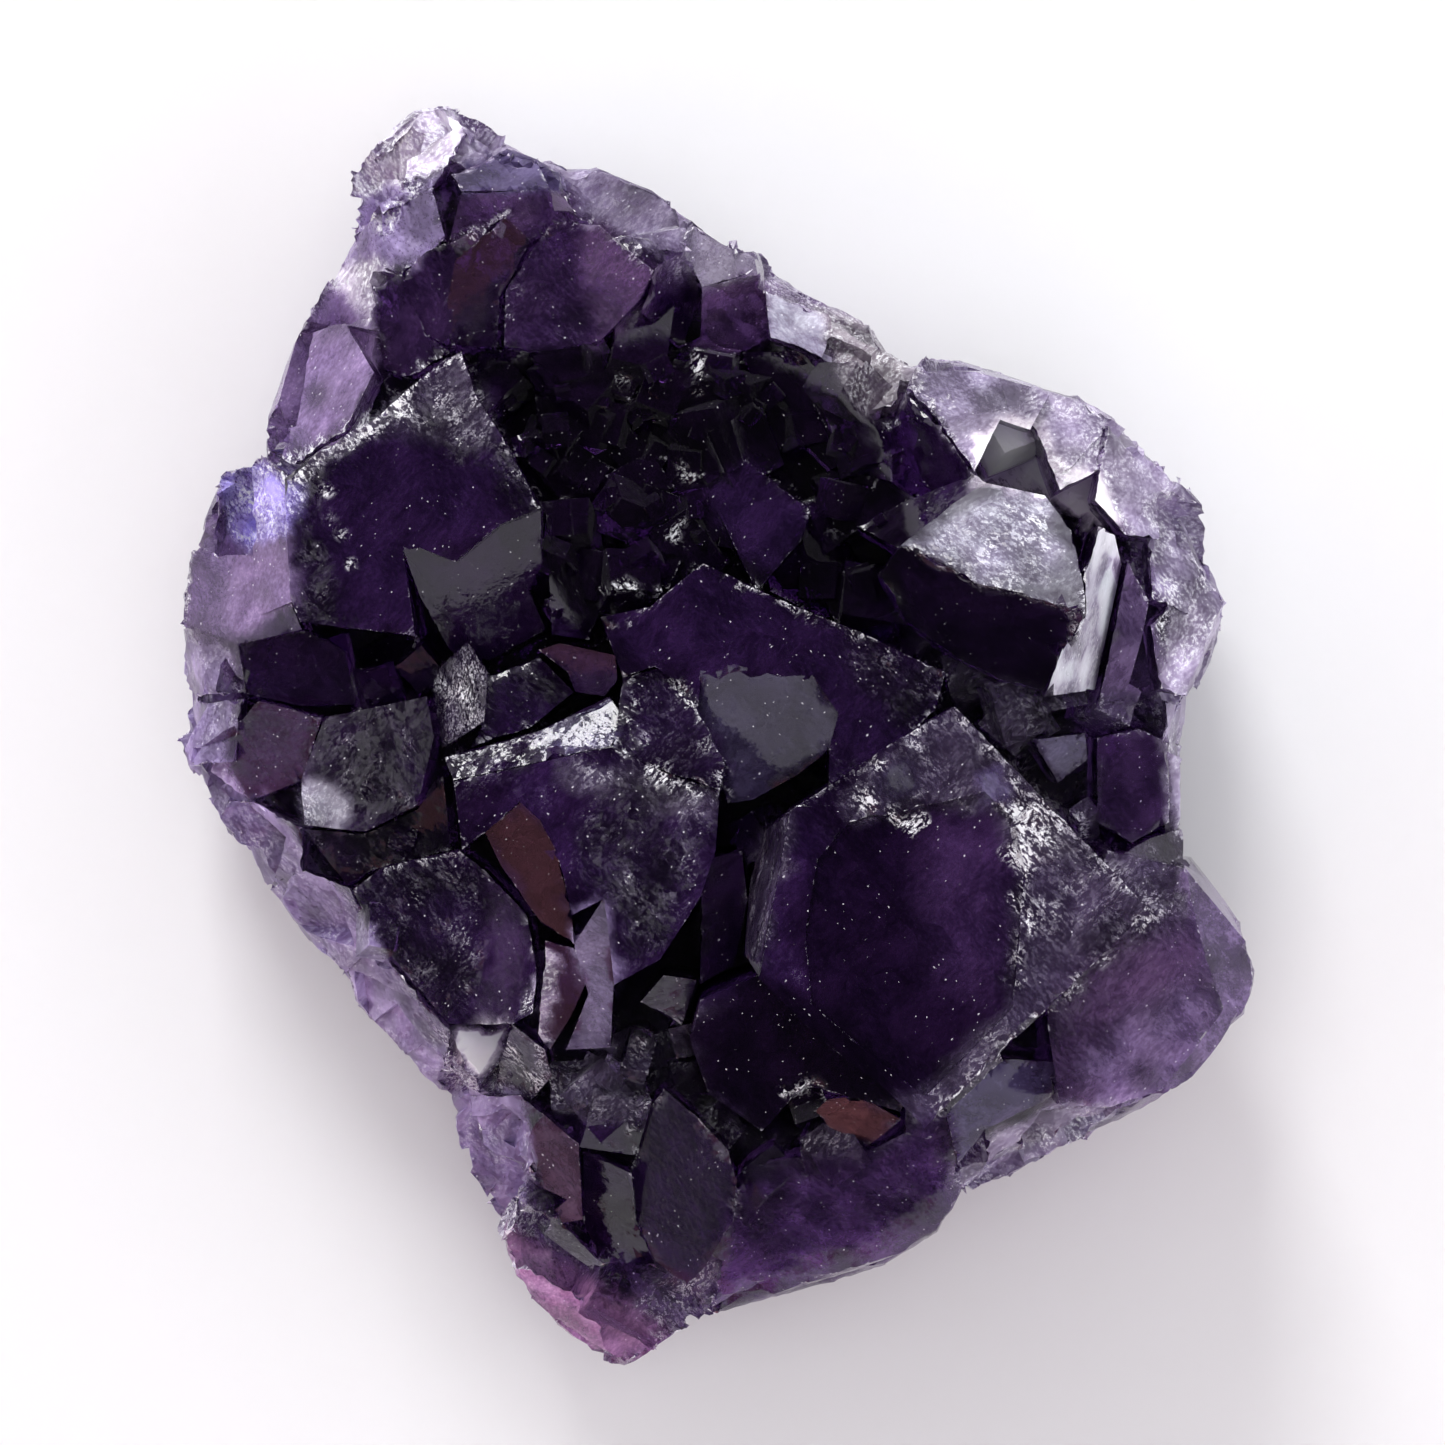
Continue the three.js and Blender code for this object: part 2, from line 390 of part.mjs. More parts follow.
// Crystals measured one by one: plan place, level of the top, edges, spin, lean and the way it leans
const CUBES = [
  { at: [806, 1092, 18.8], edges: [1.6, 1.1, 2.5], spin: 20, lean: 24, toward: 95 },
  { at: [1084, 810, 16.2], edges: [1.2, 1, 3], spin: 35, lean: 26, toward: 100 },
  { at: [1060, 690, 15], edges: [2.4, 2, 4], spin: 12, lean: 18, toward: 250 },
  { at: [1008, 725, 15], edges: [2, 2.4, 4], spin: 50, lean: 20, toward: 200 },
  { at: [1120, 700, 14.4], edges: [2, 2, 3], spin: 65, lean: 26, toward: 20 },
  { at: [845, 415, 13.6], edges: [2, 2.6, 3], spin: 15, lean: 24, toward: 210 },
  { at: [640, 480, 12.4], edges: [2.8, 2.2, 3], spin: 32, lean: 30, toward: 60 },
  { at: [622, 384, 12], edges: [1.5, 1.2, 3], spin: 8, lean: 28, toward: 105 },
  { at: [696, 372, 11.8], edges: [1, 2.4, 3], spin: 82, lean: 30, toward: 40 },
  { at: [686, 468, 11.6], edges: [1.4, 1.2, 3], spin: 30, lean: 26, toward: 100 },
  { at: [566, 408, 12], edges: [3, 1.4, 3], spin: 4, lean: 30, toward: 280 },
  { at: [620, 588, 14.4], edges: [1.8, 1.6, 3], spin: 40, lean: 30, toward: 90 },
  { at: [850, 590, 13.4], edges: [2.6, 2.2, 3], spin: 20, lean: 22, toward: 130 },
  { at: [770, 430, 11.6], edges: [2.6, 2, 3], spin: 52, lean: 25, toward: 230 },
  { at: [700, 540, 11.8], edges: [2.6, 2.2, 3], spin: 24, lean: 24, toward: 70 },
  { at: [655, 565, 12.6], edges: [1.8, 2.4, 3], spin: 66, lean: 22, toward: 150 },
  { at: [905, 640, 13.2], edges: [2.2, 1.8, 3], spin: 40, lean: 28, toward: 60 },
  { at: [968, 668, 14], edges: [2.4, 2, 3], spin: 14, lean: 24, toward: 120 },
  { at: [750, 838, 16.8], edges: [1.6, 2.2, 3], spin: 30, lean: 20, toward: 200 },
  { at: [620, 1090, 13.6], edges: [2.4, 2, 3], spin: 28, lean: 20, toward: 300 },
  { at: [590, 1075, 13.8], edges: [2, 1.6, 3], spin: 60, lean: 24, toward: 120 },
  { at: [640, 1050, 15.2], edges: [2.2, 1.4, 4], spin: 75, lean: 30, toward: 70 },
  { at: [690, 1040, 15.6], edges: [2, 1.6, 5], spin: 15, lean: 22, toward: 200 },
  { at: [770, 1170, 14.6], edges: [2.2, 1.8, 3], spin: 40, lean: 26, toward: 60 },
  { at: [820, 1160, 15.4], edges: [1.8, 1.6, 4], spin: 10, lean: 22, toward: 240 },
  { at: [375, 690, 14.4], edges: [1.8, 2.6, 3], spin: 12, lean: 26, toward: 70 },
  { at: [420, 670, 14.6], edges: [1.8, 1.8, 3], spin: 40, lean: 20, toward: 250 },
];

const CUBE_CORNERS = [
  [0.5, 0.5, 0], [-0.5, 0.5, 0], [-0.5, -0.5, 0], [0.5, -0.5, 0],
  [0.5, 0.5, -1], [-0.5, 0.5, -1], [-0.5, -0.5, -1], [0.5, -0.5, -1],
];

function toManifold(positions, triangles) {
  const mesh = new wasm.Mesh({
    numProp: 3,
    vertProperties: Float32Array.from(positions),
    triVerts: Uint32Array.from(triangles),
  });
  return new wasm.Manifold(mesh);
}

function geometryToManifold(geometry) {
  const bare = geometry.clone();
  bare.deleteAttribute("normal");
  bare.deleteAttribute("uv");
  const welded = mergeVertices(bare, 1e-5);
  return toManifold(welded.attributes.position.array, welded.index.array);
}

// The spot on a sight line where it meets a plane
function meetPlane(across, down, plane) {
  const low = spot(across, down, 0);
  const way = spot(across, down, 1).sub(low);
  return low.addScaledVector(way, -plane.distanceToPoint(low) / plane.normal.dot(way));
}

function facePlane(face) {
  const fixed = face.filter((corner) => corner.length === 3).map((corner) => spot(...corner));
  const plane = new THREE.Plane().setFromCoplanarPoints(fixed[0], fixed[1], fixed[2]);
  if (plane.normal.z < 0) {
    plane.negate();
  }
  return plane;
}

// Closed block between a flat upper ring and a lower ring of as many corners
function ringBlock(upper, lower) {
  const count = upper.length;
  const flat = upper.map((point) => new THREE.Vector2(point.x, point.y));
  const order = THREE.ShapeUtils.isClockWise(flat) ? -1 : 1;
  const cap = THREE.ShapeUtils.triangulateShape(flat, []);
  const positions = [...upper, ...lower].flatMap((point) => point.toArray());
  const triangles = [];
  const push = (a, b, c) => triangles.push(...(order > 0 ? [a, b, c] : [a, c, b]));
  for (const [a, b, c] of cap) {
    const turn = new THREE.Vector2().subVectors(flat[b], flat[a]).cross(
      new THREE.Vector2().subVectors(flat[c], flat[a]));
    const corners = turn > 0 ? [a, b, c] : [a, c, b];
    triangles.push(...corners);
    triangles.push(corners[0] + count, corners[2] + count, corners[1] + count);
  }
  for (let i = 0; i < count; i += 1) {
    const next = (i + 1) % count;
    push(i, i + count, next);
    push(next, i + count, next + count);
  }
  return toManifold(positions, triangles);
}

function faceBlock({ face, flare }) {
  const plane = facePlane(face);
  const upper = face.map(([across, down]) => meetPlane(across, down, plane));
  const middle = new THREE.Vector3();
  upper.forEach((point) => middle.addScaledVector(point, 1 / upper.length));
  const lower = upper.map((point) => point
    .clone()
    .sub(middle)
    .multiplyScalar(1 + flare)
    .add(middle)
    .setZ(ROOT_LEVEL));
  return ringBlock(upper, lower);
}

function turned(spin, lean, toward) {
  const tilt = THREE.MathUtils.degToRad(lean);
  const way = THREE.MathUtils.degToRad(toward);
  const axis = new THREE.Vector3(-Math.sin(way), Math.cos(way), 0);
  const leaning = new THREE.Quaternion().setFromAxisAngle(axis, tilt);
  const spinning = new THREE.Quaternion().setFromAxisAngle(
    new THREE.Vector3(0, 0, 1), THREE.MathUtils.degToRad(spin));
  return leaning.multiply(spinning);
}

// Leaning cube with its upper face centred on the place given, and the stem under it that fills
// its overhang down into the bed
function cubeBlock({ at, edges, spin, lean, toward }) {
  const turn = turned(spin, lean, toward);
  const place = spot(...at);
  const points = [];
  for (const [right, front, low] of CUBE_CORNERS) {
    const corner = new THREE.Vector3(right * edges[0], front * edges[1], low * edges[2]);
    corner.applyQuaternion(turn).add(place);
    points.push(corner, corner.clone().setZ(ROOT_LEVEL));
  }
  return geometryToManifold(new ConvexGeometry(points));
}

function windowCut() {
  const plane = facePlane(FACES[0].face);
  const ring = WINDOW.map(([across, down]) => meetPlane(across, down, plane));
  const upper = ring.map((point) => point.clone().addScaledVector(plane.normal, 1));
  const lower = ring.map((point) => point.clone().addScaledVector(plane.normal, -WINDOW_DEPTH));
  return ringBlock(upper, lower);
}

// A place moved towards the middle of the bed by some plan steps
function inwards([across, down], inset) {
  const dx = BED_CENTRE[0] - across;
  const dy = BED_CENTRE[1] - down;
  const length = Math.hypot(dx, dy);
  return [across + (dx / length) * inset, down + (dy / length) * inset];
}

// Bed: rings of corners from the flat underside out to the widest part, up to the broken rim,
// and in to a sunk floor
function bed() {
  const random = seeded(BED_SEED);
  const wobble = (amount) => between(random, [-amount, amount]);
  const rings = [[], [], [], [], []];
  let deep = 0;
  OUTLINE.forEach((corner, i) => {
    deep = (deep + wobble(REST_INSET_SPREAD)) * 0.6;
    const rim = corner[2];
    const flank = FLANK_INSETS[i % FLANK_INSETS.length];
    const wave = Math.sin(i * 0.5) + Math.sin(i * 0.23 + 1);
    const place = (inset, level) => spot(...inwards(corner, inset), level);
    rings[0].push(place(REST_INSET + deep, 0));
    rings[1].push(place(0, WIDEST_LEVEL + wobble(WIDEST_SPREAD)));
    const half = (WIDEST_LEVEL + rim) / 2 + wobble(FLANK_LEVEL_SPREAD);
    rings[2].push(place(flank + wobble(FLANK_INSET_SPREAD), half));
    const edge = RIM_INSET + wobble(RIM_INSET_SPREAD);
    rings[3].push(place(edge, rim - RIM_DROP + wobble(RIM_DROP_SPREAD)));
    rings[4].push(place(FLOOR_INSET + wave * FLOOR_INSET_WAVE, FLOOR_LEVEL + wave * FLOOR_WAVE));
  });
  const count = OUTLINE.length;
  const positions = rings.flat().flatMap((point) => point.toArray());
  const triangles = [];
  for (let level = 0; level + 1 < rings.length; level += 1) {
    for (let i = 0; i < count; i += 1) {
      const a = level * count + i;
      const b = level * count + ((i + 1) % count);
      const c = a + count;
      const d = b + count;
      if ((i + level) % 2 === 0) {
        triangles.push(a, c, b, b, c, d);
      } else {
        triangles.push(a, c, d, a, d, b);
      }
    }
  }
  const rest = positions.length / 3;
  const last = (rings.length - 1) * count;
  positions.push(...spot(...BED_CENTRE, 0).toArray());
  positions.push(...spot(...BED_CENTRE, FLOOR_LEVEL).toArray());
  for (let i = 0; i < count; i += 1) {
    const next = (i + 1) % count;
    triangles.push(rest, i, next);
    triangles.push(rest + 1, last + next, last + i);
  }
  return toManifold(positions, triangles);
}

// Wedge taken off the flank outside a plane: the plane holds the line between two places of the
// outline at one level and leans inward below that level (under) or above it (above)
function flankWedge({ from, to, level }, lean, low, high) {
  const start = spot(...from, level);
  const end = spot(...to, level);
  const along = end.clone().sub(start).normalize();
  const out = new THREE.Vector3(along.y, -along.x, 0);
  const middle = start.clone().add(end).multiplyScalar(0.5);
  const centre = spot(...BED_CENTRE, level);
  if (out.dot(middle.clone().sub(centre)) < 0) {
    out.negate();
  }
  const slope = Math.tan(THREE.MathUtils.degToRad(lean));
  const points = [];
  for (const [end1, way] of [[start, -1], [end, 1]]) {
    for (const z of [low, high]) {
      const inward = Math.abs(z - level) * slope;
      const spare = WEDGE_MARGIN + Math.max(level - z, 0) * WEDGE_SPLAY;
      const point = end1.clone().setZ(z).addScaledVector(along, way * spare);
      point.addScaledVector(out, -inward);
      points.push(point, point.clone().addScaledVector(out, WEDGE_REACH));
    }
  }
  return geometryToManifold(new ConvexGeometry(points));
}

function flankWedges() {
  return FLANK_CUTS.flatMap((cut) => [
    flankWedge(cut, cut.under, -1, cut.level),
    flankWedge(cut, cut.above, cut.level, cut.level + 12),
  ]);
}

// Leaning cube of a random size and turn out of a kind's ranges
function smallCrystal(random, kind, at, toward) {
  const size = between(random, kind.edge);
  return cubeBlock({
    at,
    edges: [size, size * between(random, kind.width), size],
    spin: between(random, [0, 90]),
    lean: between(random, kind.lean),
    toward,
  });
}

// Small crystals standing at random on the floor of the hollow, higher towards its walls
function hollowCrystals() {
  const random = seeded(HOLLOW.seed);
  return Array.from({ length: HOLLOW.count }, () => {
    const around = between(random, [0, Math.PI * 2]);
    const out = Math.sqrt(random());
    const level = HOLLOW.level + out * HOLLOW.climb + random() * HOLLOW.spread;
    const at = [
      HOLLOW.centre[0] + Math.cos(around) * out * HOLLOW.reach[0],
      HOLLOW.centre[1] + Math.sin(around) * out * HOLLOW.reach[1],
      level,
    ];
    return smallCrystal(random, HOLLOW, at, between(random, [0, 360]));
  });
}

// Dark gaps between the large crystals: middle, breadth and height in plan, level of the floor
const GAPS = [
  [1120, 780, 60, 60, 12.6], [1020, 700, 60, 50, 13], [640, 1070, 60, 40, 12.4],
  [735, 1140, 40, 40, 12.4], [660, 920, 40, 70, 16], [330, 670, 70, 40, 12.2],
  [400, 690, 50, 40, 13], [560, 590, 40, 50, 12.6], [860, 560, 40, 50, 12.4],
  [720, 320, 50, 30, 11],
];

// Small crystals that fill these gaps
function gapCrystals() {
  const random = seeded(GAP.seed);
  return Array.from({ length: GAP.count }, (_, i) => {
    const [across, down, wide, tall, level] = GAPS[i % GAPS.length];
    const at = [
      across + between(random, [-wide / 2, wide / 2]),
      down + between(random, [-tall / 2, tall / 2]),
      level + random() * GAP.spread,
    ];
    return smallCrystal(random, GAP, at, between(random, [0, 360]));
  });
}

// Broken knobs along the rim, leaning outward
function rimKnobs() {
  const random = seeded(RIM.seed);
  return Array.from({ length: RIM.count }, (_, i) => {
    const corner = OUTLINE[Math.floor((i * OUTLINE.length) / RIM.count)];
    const out = Math.atan2(BED_CENTRE[1] - corner[1], corner[0] - BED_CENTRE[0]);
    const at = [
      ...inwards(corner, between(random, RIM.inset)),
      corner[2] + between(random, RIM.level),
    ];
    const swing = between(random, [-RIM.swing, RIM.swing]);
    return smallCrystal(random, RIM, at, THREE.MathUtils.radToDeg(out) + swing);
  });
}

function join(blocks) {
  let list = blocks;
  while (list.length > 1) {
    const half = [];
    for (let i = 0; i < list.length; i += 2) {
      half.push(i + 1 < list.length ? list[i].add(list[i + 1]) : list[i]);
    }
    list = half;
  }
  return list[0];
}

function toGeometry(solid) {
  const mesh = solid.getMesh();
  const geometry = new THREE.BufferGeometry();
  geometry.setAttribute("position", new THREE.BufferAttribute(mesh.vertProperties, 3));
  geometry.setIndex(new THREE.BufferAttribute(mesh.triVerts, 1));
  geometry.computeVertexNormals();
  return geometry;
}

const crystals = FACES.map(faceBlock);
crystals[0] = crystals[0].subtract(windowCut());
const grown = join([
  bed(),
  ...crystals,
  ...CUBES.map(cubeBlock),
  ...hollowCrystals(),
  ...gapCrystals(),
  ...rimKnobs(),
]);
const cluster = grown.subtract(join(flankWedges()));

const fluorite = new THREE.MeshStandardMaterial({
  name: "fluorite",
  color: 0x2a1650,
  roughness: 0.25,
  metalness: 0,
});

const body = new THREE.Mesh(toGeometry(cluster), fluorite);
body.name = "fluorite_cluster";

const root = new THREE.Group();
root.name = "fluorite_crystal_cluster";
root.add(body);

export default root;
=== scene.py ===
import math

import bmesh
import bpy
import numpy as np
from mathutils import Euler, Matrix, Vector, kdtree
from mathutils.bvhtree import BVHTree
from mathutils.geometry import delaunay_2d_cdt


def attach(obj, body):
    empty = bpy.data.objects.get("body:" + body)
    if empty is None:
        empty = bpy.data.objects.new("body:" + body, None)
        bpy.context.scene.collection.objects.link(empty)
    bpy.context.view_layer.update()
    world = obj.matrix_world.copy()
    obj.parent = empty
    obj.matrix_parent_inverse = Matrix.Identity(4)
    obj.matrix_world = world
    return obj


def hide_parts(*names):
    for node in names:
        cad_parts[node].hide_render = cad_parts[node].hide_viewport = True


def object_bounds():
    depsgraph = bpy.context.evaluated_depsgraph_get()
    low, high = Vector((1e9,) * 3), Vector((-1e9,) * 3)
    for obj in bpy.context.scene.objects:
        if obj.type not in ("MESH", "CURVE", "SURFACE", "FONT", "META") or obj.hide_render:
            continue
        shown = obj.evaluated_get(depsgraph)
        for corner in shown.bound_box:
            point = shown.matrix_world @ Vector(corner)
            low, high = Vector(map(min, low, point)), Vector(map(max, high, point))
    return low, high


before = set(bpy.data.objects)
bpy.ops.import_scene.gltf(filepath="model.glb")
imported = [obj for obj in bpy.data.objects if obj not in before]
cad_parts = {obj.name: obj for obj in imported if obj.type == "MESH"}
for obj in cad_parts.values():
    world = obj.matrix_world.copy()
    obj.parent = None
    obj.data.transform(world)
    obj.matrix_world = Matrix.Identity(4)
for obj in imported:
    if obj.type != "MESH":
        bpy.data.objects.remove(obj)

# Looks of a cluster of purple fluorite cubes: the solid from the frame, with small crystals
# grown into it, chipped edges, broken cleavage on the rim and one clear violet material.

MM = 0.001
NODE = "fluorite_cluster"
BODY = "root"

# The eye straight above, in millimetres, and the plan steps in which it sees the solid: a step
# has its size at one level, and the plan is a square of steps
EYE_HEIGHT = 260
EYE_X = 0.43
EYE_Y = 0.7
STEP = 0.05
STEP_LEVEL = 10
PLAN_CENTRE = 722.5
PLAN_SIZE = 1445
SENSOR = 36

# Levels between which the solid is widest, how far in from there it counts as rim, and from how
# many directions its outline is taken
RIM_LEVELS = (4.3, 6.0)
RIM_BREADTH = 7.0
RIM_SLOTS = 180

# Fluorite
FLUORITE_IOR = 1.434
ABSORB_COLOUR = (0.46, 0.08, 0.62, 1)
ABSORB_DENSITY = 80
GRAIN_WHITE = (0.95, 0.95, 0.99, 1)
BRUSH_TURNS = (-46, 44)
BRUSH_STRETCH = (1.8, 1, 1)
DARK_PATCH = (0.55, 0.42, 0.64)
WARM_PATCH = (1.04, 0.97, 0.99)

# Sizes of the patterns in it, in millimetres
SLOW_CLOUDS = 5.5
BROAD_CLOUDS = 1.0
FINE_CLOUDS = 0.18
RIPPLES = 0.3
RIPPLE_HEIGHT = 0.03
FACETS = 0.15
PLATES = 0.55
DUST = 0.28
NICKS = 0.2

# Triangle sides of the fine surface by edges, on the rim and on flat faces, and how far an edge's
# wear reaches, in millimetres. Faces larger than the least one, in square millimetres, are filled
# with corners, once the flat ones that meet under an angle in degrees are joined.
EDGE_GRAIN = 0.32
RIM_GRAIN = 0.45
FLAT_GRAIN = 0.6
EDGE_REACH = 0.35
LEAST_FACE = 0.6
FLAT_ANGLE = 0.5

# Corners inside a flat face: rows a share of a step apart, each corner shifted by up to a share of
# a step, and none nearer to the outline than a share of a step
ROW_SHARE = 0.87
SHIFT_SHARE = 0.35
MARGIN_SHARE = 0.45

# Level up to which the edges of the body are left as they are, in millimetres
FOOT = 0.3

# Wear, in millimetres: what is thin is drawn back, edges are chipped, the rim is crumbled to a
# depth in pieces of a size, frosted faces are pitted, all faces are a little wavy, and nothing
# goes deeper than a share of the wall or moves the cut base. Edges past an angle look sharp.
THIN = 0.4
CHIP_LEAST, CHIP_MOST = 0.02, 0.2
CRUMBLES = ((0.2, 2.1, 20), (0.1, 1.0, 30))
PIT_DEPTH, PIT_SIZE = 0.05, 0.45
SWELL_DEPTH, SWELL_SIZE = 0.012, 3.1
WALL_SHARE = 0.25
BASE_LEVEL = 0.05
SHARP_ANGLE = 22

# Small crystals grow up to one level and chips come off above another, in millimetres, near the
# rim and where a face doesn't look down too much. Except on the ground between the crystals, both
# keep off areas with a finish whose frost is under a limit.
NEST_TOP = 17
CHIP_FLOOR = 1.6
CHIP_NEARNESS = 0.7
CHIP_SLOPE = -0.6
CLEAN_FROST = 0.13

# How far the normal of a face rises that can be seen from above
LOOKING_UP = 0.15

# Least and largest share of its edge that each side of a cube gets
CUBE_SIDES = ((0.75, 0.75, 0.85), (1.2, 1.2, 1.2))

# Studio: a white surround whose bands darken toward the zenith, a warm card low on one side, a
# window and a broad light overhead. Places are angles in degrees, distances and sizes are metres.
WHITE_SURROUND = 1.45
SURROUND_TINT = (1, 0.985, 1.03)
ZENITH_BANDS = ((0.0, 1.0), (0.6, 0.95), (0.76, 0.25), (0.88, 0.03), (1.0, 0.02))
WARM_CARD = (0.44, 0.2, 0.22, 1)
WARM_CARD_AT = (-122, 22)
WARM_CARD_EDGE = (34, 22)
WINDOW_AT = (104, 34)
WINDOW_AWAY = 0.8
WINDOW_SIZE = (0.26, 0.2)
WINDOW = 22
OVERHEAD_AT = (0, 90)
OVERHEAD_AWAY = 1.2
OVERHEAD_SIZE = (1.2, 1.2)
OVERHEAD = 0.9
FLOOR_WHITE = (0.9, 0.9, 0.91, 1)
FLOOR_HALF = 3

# How far, in degrees, a face leans that mirrors the dark overhead, the dim band below it or the
# bright surround, what else a face mirrors or turns to, toward which sides a grey one leans, and
# how much of its lean each face takes on where all faces of an area lean
MIRROR_LEANS = {"dark": 6, "dim": 19, "surround": 27, "grey": 28}
MIRRORED = {"window": WINDOW_AT, "warm card": WARM_CARD_AT}
FACED = {"lit": WINDOW_AT, "up": OVERHEAD_AT}
GREY_SIDES = ((-0.95, 0.3, 0), (0.9, -0.2, 0))
CALM = 0.8

# Waves in the borders of the finishes: size in millimetres, reach in plan steps, and seeds
BORDER_WAVES = ((1.1, 6, (3, 4)), (0.4, 4, (5, 6)))

# Sizes of the other waves, in millimetres: in the tint, the frost, the wear of faces and of
# edges, and the patches that make a finish uneven, more so from a certain frost on
TINT_WAVES = 2.2
FROST_WAVES = 1.6
WEAR_WAVES = 1.3
EDGE_WAVES = 0.5
PATCH_WAVES = ((1.5, 17), (0.9, 19))
FROSTED = 0.09
UNEVEN_FROST, UNEVEN_GLASS = 0.3, 0.08

# Levels between which the stone gets milkier from the hollow up, in millimetres
HOLLOW_LEVELS = (8, 17)

# Columns of the values that a finish gives to each corner of a triangle
TINT, HAZE, FROST, SILK, LEAN, WEAR = slice(0, 3), 3, 4, 5, slice(6, 9), 9

cad_low, cad_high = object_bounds()


def smooth(low, high, value):
    """0 below a low value, 1 above a high one, and smooth in between."""
    share = np.clip((value - low) / (high - low), 0, 1)
    return share * share * (3 - 2 * share)


def plan(points):
    """Plan steps, across and down, at which the eye sees points given in millimetres."""
    step = STEP * (EYE_HEIGHT - points[:, 2]) / (EYE_HEIGHT - STEP_LEVEL)
    across = (points[:, 0] - EYE_X) / step + PLAN_CENTRE
    down = PLAN_CENTRE - (points[:, 1] - EYE_Y) / step
    return np.stack([across, down], 1)


# Tints of the fluorite, as linear colours, with a few that are painted reflections and painted
# light
VIOLET_INK = (0.044, 0.015, 0.088)
VIOLET = (0.078, 0.03, 0.16)
PURPLE = (0.15, 0.07, 0.26)
AMETHYST = (0.26, 0.15, 0.36)
LILAC = (0.34, 0.25, 0.48)
LAVENDER = (0.5, 0.41, 0.72)
MILK = (0.8, 0.79, 0.87)
BLUISH = (0.46, 0.41, 0.95)
PINKISH = (0.68, 0.37, 0.66)
SMOKE = (0.13, 0.11, 0.23)
DUSK = (0.11, 0.07, 0.12)
ASH = (0.2, 0.16, 0.29)
CRUST = (0.34, 0.32, 0.34)
# Two warm browns, a darker and a lit one: painted reflections of the warm card
WARM_REFLECTION = (0.11, 0.04, 0.07)
LIT_WARM_REFLECTION = (0.2, 0.08, 0.09)
# Pale grey: a painted reflection of the white surround on a face too steep to mirror it
PAINTED_REFLECTION_WHITE = (0.66, 0.7, 0.75)
# Near white: white flakes, and painted highlights and painted light in a shaded recess
FLAKE_AND_PAINTED_LIGHT = (0.97, 0.98, 1.0)
PEARL = (0.48, 0.45, 0.6)
SILVER = (0.66, 0.7, 0.79)

# Finishes: tint, how milky it is, how much of it white grains cover, how rough its gloss is
FINISHES = {
    "deep glass": (VIOLET, 0.16, 0.0, 0.03),
    "violet glow": (PURPLE, 0.22, 0.02, 0.03),
    "black glass": (VIOLET_INK, 0.12, 0.0, 0.02),
    "mirror": (VIOLET, 0.22, 0.02, 0.03),
    "smoky mirror": (SMOKE, 0.24, 0.05, 0.06),
    # Painted reflections of the warm card, a darker one and a lit one
    "painted warm reflection": (WARM_REFLECTION, 0.2, 0.03, 0.04),
    "painted lit warm reflection": (LIT_WARM_REFLECTION, 0.34, 0.04, 0.05),
    "dusty glass": (VIOLET, 0.14, 0.2, 0.12),
    "dusty glow": (ASH, 0.22, 0.24, 0.14),
    "grained": (ASH, 0.2, 0.4, 0.2),
    "thick grained": (ASH, 0.3, 0.66, 0.4),
    "slab glass": (AMETHYST, 0.34, 0.08, 0.12),
    "dark slab": (PURPLE, 0.4, 0.1, 0.1),
    "slab glow": (LILAC, 0.42, 0.1, 0.15),
    "lilac glass": (LILAC, 0.5, 0.1, 0.2),
    "lavender frost": (LAVENDER, 0.52, 0.16, 0.3),
    "flank crust": (LAVENDER, 0.52, 0.25, 0.35),
    "pale crust": (PEARL, 0.62, 0.34, 0.4),
    "white crust": (MILK, 0.72, 0.5, 0.4),
    "clean pale face": (LAVENDER, 0.42, 0.02, 0.08),
    "dull pale face": (PEARL, 0.3, 0.02, 0.08),
    "shaded side": (LILAC, 0.4, 0.02, 0.05),
    "plum face": (DUSK, 0.7, 0.04, 0.06),
    "lit crust": (PEARL, 0.66, 0.4, 0.4),
    # Painted reflection of the white surround
    "bright ground": (PAINTED_REFLECTION_WHITE, 0.96, 0.1, 0.2),
    "dusty violet": (PURPLE, 0.2, 0.12, 0.08),
    "left glass": (VIOLET, 0.2, 0.07, 0.05),
    "night glass": (VIOLET_INK, 0.2, 0.0, 0.03),
    "grey veil": (SILVER, 0.2, 0.14, 0.2),
    "grey face": (SMOKE, 0.8, 0.04, 0.06),
    "window pane": (SMOKE, 0.4, 0.12, 0.05),
    "veil": (SILVER, 0.52, 0.27, 0.25),
    "bluish glow": (BLUISH, 0.7, 0.4, 0.3),
    "olive crust": (CRUST, 0.5, 0.4, 0.4),
    "grey rim": (PEARL, 0.54, 0.16, 0.2),
    # Painted light that brightens a shaded recess
    "painted light in the recess": (FLAKE_AND_PAINTED_LIGHT, 1.0, 0.16, 0.3),
    "pearl face": (SILVER, 0.7, 0.03, 0.08),
    # A white flake, and a painted highlight where a face should mirror the window
    "white flake and painted highlight": (FLAKE_AND_PAINTED_LIGHT, 1.0, 0.06, 0.15),
    "pink ledge": (PINKISH, 0.5, 0.1, 0.15),
}

